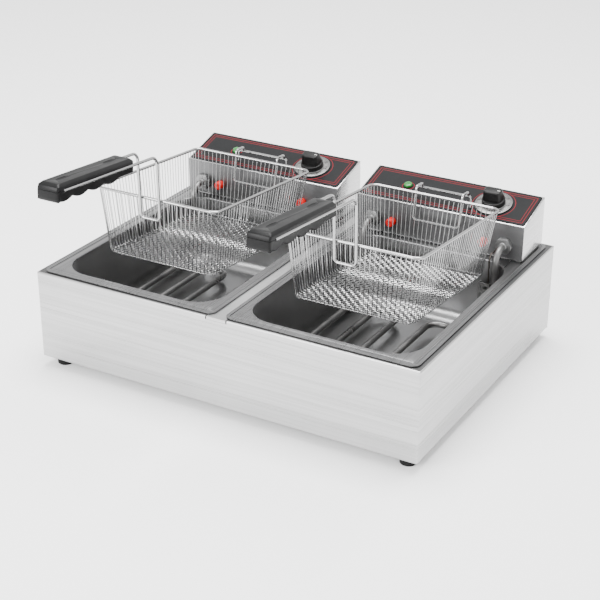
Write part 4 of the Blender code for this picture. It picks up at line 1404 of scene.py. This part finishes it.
@dataclass
class Knob:
    """Thermostat knob with its silver dial; both turn together."""

    shop: Shop
    side: Side
    panel: Matrix
    spot: tuple[float, float]
    base: float
    gap: float = 0.0003
    dial_radius: float = 0.026
    dial_height: float = 0.0016
    radius: float = 0.0155
    skirt: float = 0.007
    height: float = 0.021
    bar_half: float = 0.0100
    bar_corner: float = 0.0052
    bar_taper: tuple[float, float, float] = (0.84, 0.70, 1.0)
    bar_round: float = 0.0016
    skirt_flare: float = 0.0006
    skirt_round: float = 0.0014
    rib_pitch: float = 0.0026
    rib: tuple[float, float] = (0.0004, 0.0005)
    rib_top: float = 0.015
    dial_round: float = 0.0005
    dial_step: tuple[tuple[float, float], ...] = ((0.0085, 0.0), (0.0004, 0.0004))
    numbers: tuple[str, ...] = ("60", "90", "110", "130", "150", "170", "190")
    number_size: float = 0.0056
    number_ring: float = 0.765
    sweep: float = 250.0

    def build(self) -> None:
        """Makes the dial, its numbers and the knob."""
        self.place = self.panel @ Matrix.Translation((*self.spot, self.base + self.gap))
        self.label = self.side.value
        self.body = f"{self.label}_knob"
        self.build_dial()
        self.build_numbers()
        self.build_handle()

    def build_dial(self) -> None:
        """The flat scale disc with a rounded edge."""
        dial = Bench.disc(f"{self.label}_dial_plate", self.dial_radius, 0.0, self.dial_height, 96)
        Bench.round_edges(dial, above(self.dial_height - MERGE), self.dial_round, 2)
        Bench.steps(dial, facing_up, self.dial_step)
        Bench.flat_map(dial, "dial")
        Bench.soften(Bench.put(dial, self.place))
        finish = DialPrint(self.dial_radius, f"{self.label}_dial_print").build()
        nodes = [f"{self.label}_dial_skirt"]
        self.shop.deliver(dial, finish, self.body, "dial_silver", nodes)

    def build_numbers(self) -> None:
        """Raised ink numbers round the scale."""
        pieces = []
        for index, text in enumerate(self.numbers):
            share = index / (len(self.numbers) - 1)
            turn = math.radians(self.sweep * (share - 0.5))
            Bench.clear()
            bpy.ops.object.text_add(location=(0, 0, 0))
            word = bpy.context.active_object
            word.data.body = text
            word.data.size = self.number_size
            word.data.align_x = "CENTER"
            word.data.align_y = "CENTER"
            word.data.extrude = 0.00004
            word.data.resolution_u = 3
            bpy.ops.object.convert(target="MESH")
            word = bpy.context.active_object
            level = self.dial_height + 0.0001
            spin = Matrix.Rotation(-turn, 4, "Z")
            out = self.dial_radius * self.number_ring
            Bench.put(word, spin @ Matrix.Translation((0, out, level)))
            pieces.append(word)
        scale = Bench.join(*pieces)
        scale.name = f"{self.label}_dial_numbers"
        Bench.put(scale, self.place)
        self.shop.deliver(scale, "dial_ink", self.body, "black_plastic")

    def build_handle(self) -> None:
        """Round base with a broad finger bar, its top sloping to both ends."""
        low = self.dial_height + self.gap
        top, skirt = low + self.height, low + self.skirt
        flared = self.radius + self.skirt_flare
        knob = Bench.disc(f"{self.label}_knob_body", flared, low, skirt, 64)
        Bench.round_edges(knob, above(skirt - MERGE), self.skirt_round, 3)
        half = self.radius - 0.0012
        sides = (-half, -self.bar_half, low + 0.002), (half, self.bar_half, top)
        bar = Bench.box("finger_bar", *sides)
        Bench.round_edges(bar, rising(self.skirt), self.bar_corner, 5)
        highest = lambda vert: vert.co.z > top - MERGE
        Bench.edit(bar, "VERT", highest, bpy.ops.transform.resize, value=self.bar_taper)
        Bench.round_edges(bar, above(top - MERGE), self.bar_round, 4)
        wide, deep = self.rib
        for offset in (-3, -1, 1, 3):
            x = offset * self.rib_pitch
            for sign in (-1, 1):
                y = sign * (self.bar_half + 0.0001)
                rib_low = (x - wide, y - deep, skirt + 0.001)
                rib_high = (x + wide, y + deep, low + self.rib_top)
                Bench.cut(bar, Bench.box("rib", rib_low, rib_high))
        Bench.cut(knob, bar, "UNION")
        Bench.soften(Bench.put(knob, self.place))
        nodes = [f"{self.label}_knob"]
        self.shop.deliver(knob, "knob_plastic", self.body, "black_plastic", nodes)
        line_low = (half * 0.45, -0.0005, top - 0.0001)
        line_high = (half * 0.74, 0.0005, top + 0.00005)
        line = Bench.box(f"{self.label}_knob_pointer", line_low, line_high)
        Bench.round_edges(line, everything, 0.00003, 1)
        Bench.put(line, self.place)
        self.shop.deliver(line, "pointer_paint", self.body, "black_plastic")


# heating element ----------------------------------------------------------------------------


@dataclass
class HeatingElement:
    """Tube element hanging from the head into the tank, with the nuts that hold its legs."""

    shop: Shop
    side: Side
    radius: float = 0.0045
    bend: float = 0.0175
    middle_run: float = 0.0600
    inner_run: float = 0.0220
    rear: float = 0.0730
    casing_half: float = 0.211
    leg_gap: float = 0.029
    nut_height: float = 0.006
    nut_round: float = 0.0012
    dome_share: float = 0.545
    washer: float = 0.0010
    ferrule_past: tuple[float, float] = (0.0012, 0.0026)
    ferrule_round: float = 0.0011

    def build(self) -> None:
        """Makes the tube and both nuts."""
        label = self.side.value
        low, high = self.shop.box(f"{label}_heating_element")
        middle = (low.x + high.x) / 2
        casing_low, _ = self.shop.box("casing_body")
        rear = casing_low.y + self.casing_half + self.rear
        leg = (high.x - low.x) / 2 - self.radius
        top = high.z - self.radius
        bottom = low.z + self.radius
        front = low.y + self.radius
        head_low, _ = self.shop.box(f"{label}_head_shell")
        drop = head_low.y - self.leg_gap
        corners = [
            (-leg, high.y, top),
            (-leg, drop, top),
            (-leg, drop, bottom),
            (-leg, front, bottom),
            (-self.middle_run, front, bottom),
            (-self.middle_run, rear, bottom),
            (-self.inner_run, rear, bottom),
            (-self.inner_run, front, bottom),
        ]
        corners += [(-x, y, z) for x, y, z in reversed(corners)]
        path = [point + Vector((middle, 0, 0)) for point in bent(corners, self.bend, 10)]
        tube = Bench.wires(f"{label}_element_tube", [path], self.radius, 4)
        body = f"{label}_head"
        nodes = [f"{label}_heating_element"]
        self.shop.deliver(tube, "element_steel", body, "element_steel", nodes)
        for index in (1, 2):
            self.build_nut(f"{label}_element_nut_{index}", body)

    def build_nut(self, node: str, body: str) -> None:
        """A chamfered hexagon nut over a washer, with the ferrule the tube leaves through.

        Args:
            node: the nut's CAD node.
            body: the body it moves with.
        """
        low, high = self.shop.box(node)
        centre = (low + high) / 2
        across = high.x - low.x
        height = self.nut_height
        washer = Bench.disc(node + "_set", across * 0.50, 0.0, self.washer, 40)
        nut = Bench.disc("nut", across / math.sqrt(3) - 0.0002, self.washer, height, 6)
        dome = Bench.disc("dome", across * self.dome_share, 0.0, height, 48)
        Bench.round_edges(dome, above(height - MERGE), self.nut_round, 2)
        Bench.cut(nut, dome, "INTERSECT")
        end = height + self.ferrule_past[1]
        ferrule = Bench.disc("ferrule", self.radius + self.ferrule_past[0], 0.0, end, 32)
        Bench.round_edges(ferrule, above(end - MERGE), self.ferrule_round, 3)
        Bench.join(washer, nut, ferrule)
        turn = Matrix.Rotation(math.pi / 2, 4, "X") @ Matrix.Rotation(math.pi / 6, 4, "Z")
        Bench.put(washer, Matrix.Translation((centre.x, high.y, centre.z)) @ turn)
        self.shop.deliver(Bench.soften(washer), "nut_steel", body, "head_steel", [node])


# baskets ------------------------------------------------------------------------------------


@dataclass
class Basket:
    """Wire basket: a woven floor whose wires turn up as the walls, hung by a bent hook."""

    shop: Shop
    side: Side
    tilt: float = math.radians(5.2)
    half_x: float = 0.0945
    half_y: float = 0.12275
    corner: float = 0.012
    rim_wire: float = 0.0020
    depth: float = 0.0920
    draft: float = 0.0104
    floor_bend: float = 0.005
    wire: float = 0.00054
    weave: float = 0.00050
    pitch: float = 0.0068
    handle_x: float = -0.0050
    handle_half: float = 0.0150
    handle_wire: float = 0.0020
    handle_level: float = 0.0620
    handle_bottom: float = -0.0270
    handle_bends: tuple[float, ...] = (0.012, 0.006, 0.006, 0.012)
    standoff: float = 0.0046
    grip_front: float = -0.3360
    grip_rear: float = -0.1840
    hook_x: float = 0.0030
    hook_half: float = 0.0340
    hook_wire: float = 0.0018
    hook_bottom: float = -0.0380
    hook_top: float = 0.0075
    bar_x: float = 0.0010
    bar_y: float = 0.1480
    bar_level: float = 0.0015
    bar_half: float = 0.0400
    bar_bend: float = 0.004
    hook_bend: float = 0.0045
    wire_sink: float = 0.3
    foot_run: float = 0.004
    edge_inset: float = 0.003
    edge_rise: float = 0.0012

    def __post_init__(self) -> None:
        """Takes the basket's place from its rim."""
        self.label = self.side.value
        self.body = f"{self.label}_basket"
        centre = self.shop.middle(f"{self.label}_basket_rim")
        self.place = Matrix.Translation(centre) @ Matrix.Rotation(-self.tilt, 4, "X")

    def build(self) -> None:
        """Makes every wire and the grip."""
        self.build_weave()
        ring = rounded_ring(self.half_x, self.half_y, self.corner, 0.0, 10)
        rim = Bench.wires(f"{self.label}_rim_wire", [ring], self.rim_wire, 4, closed=True)
        self.hand_over(rim, "basket_rim")
        self.build_handle()
        self.build_hook()
        Grip(self.shop, self).build()

    def hand_over(self, obj: bpy.types.Object, *nodes: str) -> None:
        """Places a wire piece and dresses it as bright wire.

        Args:
            obj: the piece, in the basket's frame.
            nodes: the CAD nodes it stands for, without the side.
        """
        Bench.put(obj, self.place)
        names = [f"{self.label}_{node}" for node in nodes]
        self.shop.deliver(obj, "wire_steel", self.body, "wire_steel", names)

    def inset(self, height: float) -> float:
        """How far the tapered wall lies inside the rim at a height below it."""
        return self.draft * -height / self.depth

    def wall_wire(self, share: float, across: bool, index: int) -> list[Vector]:
        """One wire: down a wall, woven along the floor and up the far wall.

        Args:
            share: its place between the corners, from -1 to 1.
            across: True for a wire that crosses from side to side.
            index: its number, which sets the phase of the weave.

        Returns:
            Its centre line.
        """
        far, side = (self.half_x, self.half_y) if across else (self.half_y, self.half_x)
        top = -self.rim_wire * self.wire_sink
        floor = -self.depth
        taper = self.inset(floor)
        top_side = share * (side - self.corner)
        low_side = share * (side - self.corner - taper)
        low_far = far - taper

        def at(run: float, offset: float, level: float) -> Vector:
            """A point of the wire in the basket's frame."""
            return Vector((run, offset, level)) if across else Vector((offset, run, level))

        corners = (
            at(-far, top_side, top),
            at(-low_far, low_side, floor),
            at(-low_far + 4 * self.floor_bend, low_side, floor),
        )
        start = bent(corners, self.floor_bend, 4)[:-1]
        crossings = self.count(across)
        span = low_far - self.floor_bend * 1.5
        woven = []
        for step in range(crossings * 2 + 1):
            run = -span + 2 * span * step / (crossings * 2)
            turns = step / 2 + index % 2 + int(across)
            level = floor + self.weave * math.cos(math.pi * turns)
            woven.append(at(run, low_side, level))
        mirror = Vector((-1, 1, 1)) if across else Vector((1, -1, 1))
        return [*start, *woven, *(point * mirror for point in reversed(start))]

    def count(self, across: bool) -> int:
        """How many wires cross a wire of this family."""
        side = self.half_x if across else self.half_y
        return round(2 * (side - self.corner) / self.pitch)

    def corner_wires(self) -> list[list[Vector]]:
        """Short upright wires round each corner.

        Returns:
            Their centre lines, from the rim to the floor's edge wire.
        """
        taper = self.inset(-self.depth)
        low_x, low_y = self.half_x - taper, self.half_y - taper
        top_level, bend_level = -self.rim_wire * self.wire_sink, -self.depth + self.floor_bend
        tops = rounded_ring(self.half_x, self.half_y, self.corner, top_level, 4)
        lows = rounded_ring(low_x, low_y, self.corner, bend_level, 4)
        run = self.foot_run
        feet = rounded_ring(low_x - run, low_y - run, self.corner - run, -self.depth, 4)
        sag = Vector((0, 0, -0.0012))
        paths = []
        for index, (top, low, foot) in enumerate(zip(tops, lows, feet)):
            if index % 5 in (1, 2, 3):
                paths.append([top, low, low.lerp(foot, 0.5) + sag, foot])
        return paths

    def build_weave(self) -> None:
        """All the thin wires as one piece."""
        paths = []
        for across in (False, True):
            total = self.count(not across)
            for index in range(total + 1):
                paths.append(self.wall_wire(-1 + 2 * index / total, across, index))
        paths += self.corner_wires()
        weave = Bench.wires(f"{self.label}_basket_weave", paths, self.wire, 1)
        inset = self.inset(-self.depth) + self.edge_inset
        half_x, half_y = self.half_x - inset, self.half_y - inset
        ring = rounded_ring(half_x, half_y, self.corner, -self.depth + self.edge_rise, 6)
        edge = Bench.wires("edge", [ring], self.wire, 1, closed=True)
        Bench.join(weave, edge)
        self.hand_over(weave, "basket_mesh")

    def build_handle(self) -> None:
        """One wire: from the grip to the front wall, down it, across and up again."""
        left = self.handle_x - self.handle_half
        right = self.handle_x + self.handle_half
        lean = self.draft / self.depth
        wall = -self.half_y - self.standoff
        top = wall - lean * self.handle_level
        foot = wall - lean * self.handle_bottom
        tip = self.grip_front + 0.012
        runs = (tip, self.handle_level), (top, self.handle_level), (foot, self.handle_bottom)
        corners = [(left, *run) for run in runs] + [(right, *run) for run in reversed(runs)]
        path = bent(corners, self.handle_bends, 10)
        wire = Bench.wires(f"{self.label}_handle_wire", [path], self.handle_wire, 4)
        self.hand_over(wire, "handle_frame")

    def build_hook(self) -> None:
        """A wire up the rear wall that curls over to a footed bar on the panel."""

        def wall(height: float) -> float:
            """Where the wire lies against the wall at a height."""
            return self.half_y - self.inset(height) + self.rim_wire + self.hook_wire + 0.0006

        left = self.hook_x - self.hook_half
        right = self.hook_x + self.hook_half
        runs = (
            (self.bar_y, self.bar_level),
            (self.bar_y - 0.002, self.hook_top),
            (wall(self.hook_top), self.hook_top),
            (wall(self.hook_bottom), self.hook_bottom),
        )
        corners = [(left, *run) for run in runs] + [(right, *run) for run in reversed(runs)]
        path = bent(corners, self.hook_bend, 6)
        hook = Bench.wires(f"{self.label}_hook_wire", [path], self.hook_wire, 3)
        ends = self.bar_x - self.bar_half, self.bar_x + self.bar_half
        levels = self.foot_level(), self.bar_level
        corners = [(ends[0], self.bar_y, level) for level in levels]
        corners += [(ends[1], self.bar_y, level) for level in reversed(levels)]
        bar = Bench.wires("bar", [bent(corners, self.bar_bend, 6)], self.hook_wire, 3)
        Bench.join(hook, bar)
        self.hand_over(hook, "rear_hook")

    def foot_level(self) -> float:
        """Height of the bar's feet in the basket's frame, just above the printed film.

        Returns:
            The height of their centre lines.
        """
        low, high = self.shop.box(f"{self.label}_control_label")
        slope = (high.z - low.z) / (high.y - low.y)
        bar = self.place @ Vector((0, self.bar_y, 0))
        target = low.z + 0.0006 + (bar.y - low.y) * slope
        return (target - bar.z) / math.cos(self.tilt) + self.hook_wire


@dataclass
class Grip:
    """Two moulded halves round the handle wires, with finger waves below."""

    shop: Shop
    basket: Basket
    half: float = 0.0155
    top: float = 0.0090
    bottom: float = 0.0140
    chamfer: float = 0.0034
    lobe_pitch: float = 0.0305
    lobe_rise: float = 0.0040
    lobes: int = 4
    cuts: int = 60
    nose_gap: float = 0.0002
    nose_lean: float = 0.0030
    nose_round: float = 0.0058
    upright_round: float = 0.0022
    edge_round: float = 0.0006
    under_round: float = 0.0026
    split: float = 0.0002
    recess: tuple[float, float, float] = (0.0040, 0.0150, 0.0022)
    recess_shares: tuple[float, float] = (0.20, 0.80)

    def build(self) -> None:
        """Makes both halves and puts them on the wires."""
        basket = self.basket
        self.place = basket.place @ Matrix.Translation((basket.handle_x, 0, basket.handle_level))
        for maker, part in ((self.upper, "grip_upper"), (self.lower, "grip_lower")):
            half = maker(f"{basket.label}_{part}_moulding")
            Bench.put(half, self.place)
            nodes = [f"{basket.label}_{part}"]
            Bench.soften(half)
            self.shop.deliver(half, "grip_plastic", basket.body, "grip_plastic", nodes)

    def upper(self, label: str) -> bpy.types.Object:
        """The flat-topped half with chamfers and two shallow recesses.

        Args:
            label: the piece's name.

        Returns:
            The half in the grip's own frame.
        """
        front, rear = self.basket.grip_front, self.basket.grip_rear
        low, high = (-self.half, front, self.split), (self.half, rear, self.top)
        half = Bench.box(label, low, high)
        top = self.top - MERGE
        nose = lambda vert: vert.co.z > top and vert.co.y < front + MERGE
        Bench.shift(half, nose, (0, self.nose_lean, 0))
        Bench.round_edges(half, above(top), self.chamfer, 1)
        Bench.round_edges(half, rising(0.002), self.upright_round, 3)
        sharp = lambda edge: edge.calc_face_angle(0.0) > 0.4
        Bench.round_edges(half, sharp, self.edge_round, 2)
        for share in self.recess_shares:
            Bench.clear()
            bpy.ops.mesh.primitive_uv_sphere_add(segments=32, ring_count=16, radius=1.0)
            tool = bpy.context.active_object
            tool.scale = self.recess
            tool.location = (0, front + (rear - front) * share, self.top + 0.0008)
            Bench.cut(half, Bench.settle(tool))
        return half

    def lower(self, label: str) -> bpy.types.Object:
        """The half with four finger waves.

        Args:
            label: the piece's name.

        Returns:
            The half in the grip's own frame.
        """
        front, rear = self.basket.grip_front, self.basket.grip_rear
        low = (-self.half, front + self.nose_gap, -self.bottom)
        half = Bench.box(label, low, (self.half, rear, -self.split))
        floor = -self.bottom + MERGE
        under_nose = lambda edge: below(floor)(edge) and all(
            vert.co.y < low[1] + MERGE for vert in edge.verts
        )
        Bench.round_edges(half, under_nose, self.nose_round, 4)
        Bench.round_edges(half, rising(0.002), self.upright_round, 3)
        bisect = bpy.ops.mesh.bisect
        for cut in range(1, self.cuts):
            place = (0, front + (rear - front) * cut / self.cuts, 0)
            Bench.edit(half, "FACE", everything, bisect, plane_co=place, plane_no=(0, 1, 0))
        for vert in half.data.vertices:
            if vert.co.z < floor:
                vert.co.z += self.wave(vert.co.y - front)
        under = lambda edge: (
            edge.calc_face_angle(0.0) > 0.6
            and below(-self.bottom * 0.4)(edge)
            and abs(edge.verts[0].co.x - edge.verts[1].co.x) < 0.001
        )
        return Bench.round_edges(half, under, self.under_round, 4)

    def wave(self, run: float) -> float:
        """How far the underside is lifted.

        Args:
            run: the distance from the front end.

        Returns:
            The lift in metres.
        """
        if run > self.lobes * self.lobe_pitch:
            return self.bottom * 0.30
        share = (run / self.lobe_pitch) % 1.0
        return self.lobe_rise * (1 - math.sin(math.pi * share))


# studio -------------------------------------------------------------------------------------


@dataclass
class Studio:
    """Pale floor, soft lights and the camera."""

    azimuth: float = 29.71
    elevation: float = 25.58
    roll: float = 0.15
    camera_place: tuple[float, float, float] = (0.9078, -1.5351, 0.9539)
    lens: float = 89.41
    floor_tone: float = 0.96
    sky: float = 1.7
    target: tuple[float, float, float] = (0.0, 0.0, 0.12)

    def build(self) -> None:
        """Makes the stage."""
        self.build_floor()
        self.build_lights()
        self.build_camera()

    def build_floor(self) -> None:
        """A wide matt floor with a hint of tone in it."""
        floor = Bench.sheet("floor", (-30, -30), (30, 30), 0.0)
        shader = Shader("studio_floor")
        clouds = shader.noise(0.6, detail=2.0)
        tone = self.floor_tone
        shader.link("Base Color", shader.blend(clouds, (tone * 0.985,) * 3, (tone,) * 3))
        shader.set(Roughness=0.9)
        floor.data.materials.append(shader.material)

    def area(self, name: str, place: Point, size: Point, power: float) -> None:
        """One soft light that faces the fryer.

        Args:
            name: its name.
            place: where it stands.
            size: its width and height.
            power: its power in watts.
        """
        light = bpy.data.lights.new(name, "AREA")
        light.shape = "RECTANGLE"
        light.size, light.size_y = size
        light.energy = power
        lamp = bpy.data.objects.new(name, light)
        lamp.location = place
        aim = Vector(self.target) - Vector(place)
        lamp.rotation_euler = aim.to_track_quat("-Z", "Y").to_euler()
        bpy.context.scene.collection.objects.link(lamp)

    def build_lights(self) -> None:
        """Even sky light with large soft boxes in front, at the right and above."""
        world = bpy.data.worlds.new("studio_world")
        world.use_nodes = True
        background = world.node_tree.nodes["Background"]
        background.inputs["Color"].default_value = (1.0, 1.0, 1.0, 1.0)
        background.inputs["Strength"].default_value = self.sky
        bpy.context.scene.world = world
        self.area("front_box", (-0.9, -2.4, 1.3), (1.8, 1.0), 110.0)
        self.area("right_box", (2.4, -0.6, 1.5), (1.0, 1.2), 14.0)
        self.area("top_box", (0.0, 0.4, 2.6), (2.0, 1.4), 150.0)

    def build_camera(self) -> None:
        """The camera above the right front corner."""
        data = bpy.data.cameras.new("camera")
        data.lens = self.lens
        data.sensor_width = 36.0
        data.dof.use_dof = False
        camera = bpy.data.objects.new("camera", data)
        turn = (
            Matrix.Rotation(math.radians(self.azimuth), 4, "Z")
            @ Matrix.Rotation(math.radians(90 - self.elevation), 4, "X")
            @ Matrix.Rotation(math.radians(self.roll), 4, "Z")
        )
        camera.matrix_world = Matrix.Translation(self.camera_place) @ turn
        bpy.context.scene.collection.objects.link(camera)
        bpy.context.scene.camera = camera


def main() -> None:
    """Builds the fryer round the frame, piece by piece."""
    logging.basicConfig(level=logging.INFO, format="%(name)s: %(message)s")
    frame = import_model()
    Studio().build()
    shop = Shop(Finishes(), frame)
    Casing(shop).build()
    for side in Side:
        Tank(shop, side).build()
        ControlHead(shop, side).build()
        HeatingElement(shop, side).build()
        Basket(shop, side).build()


if __name__ == "__main__":
    main()
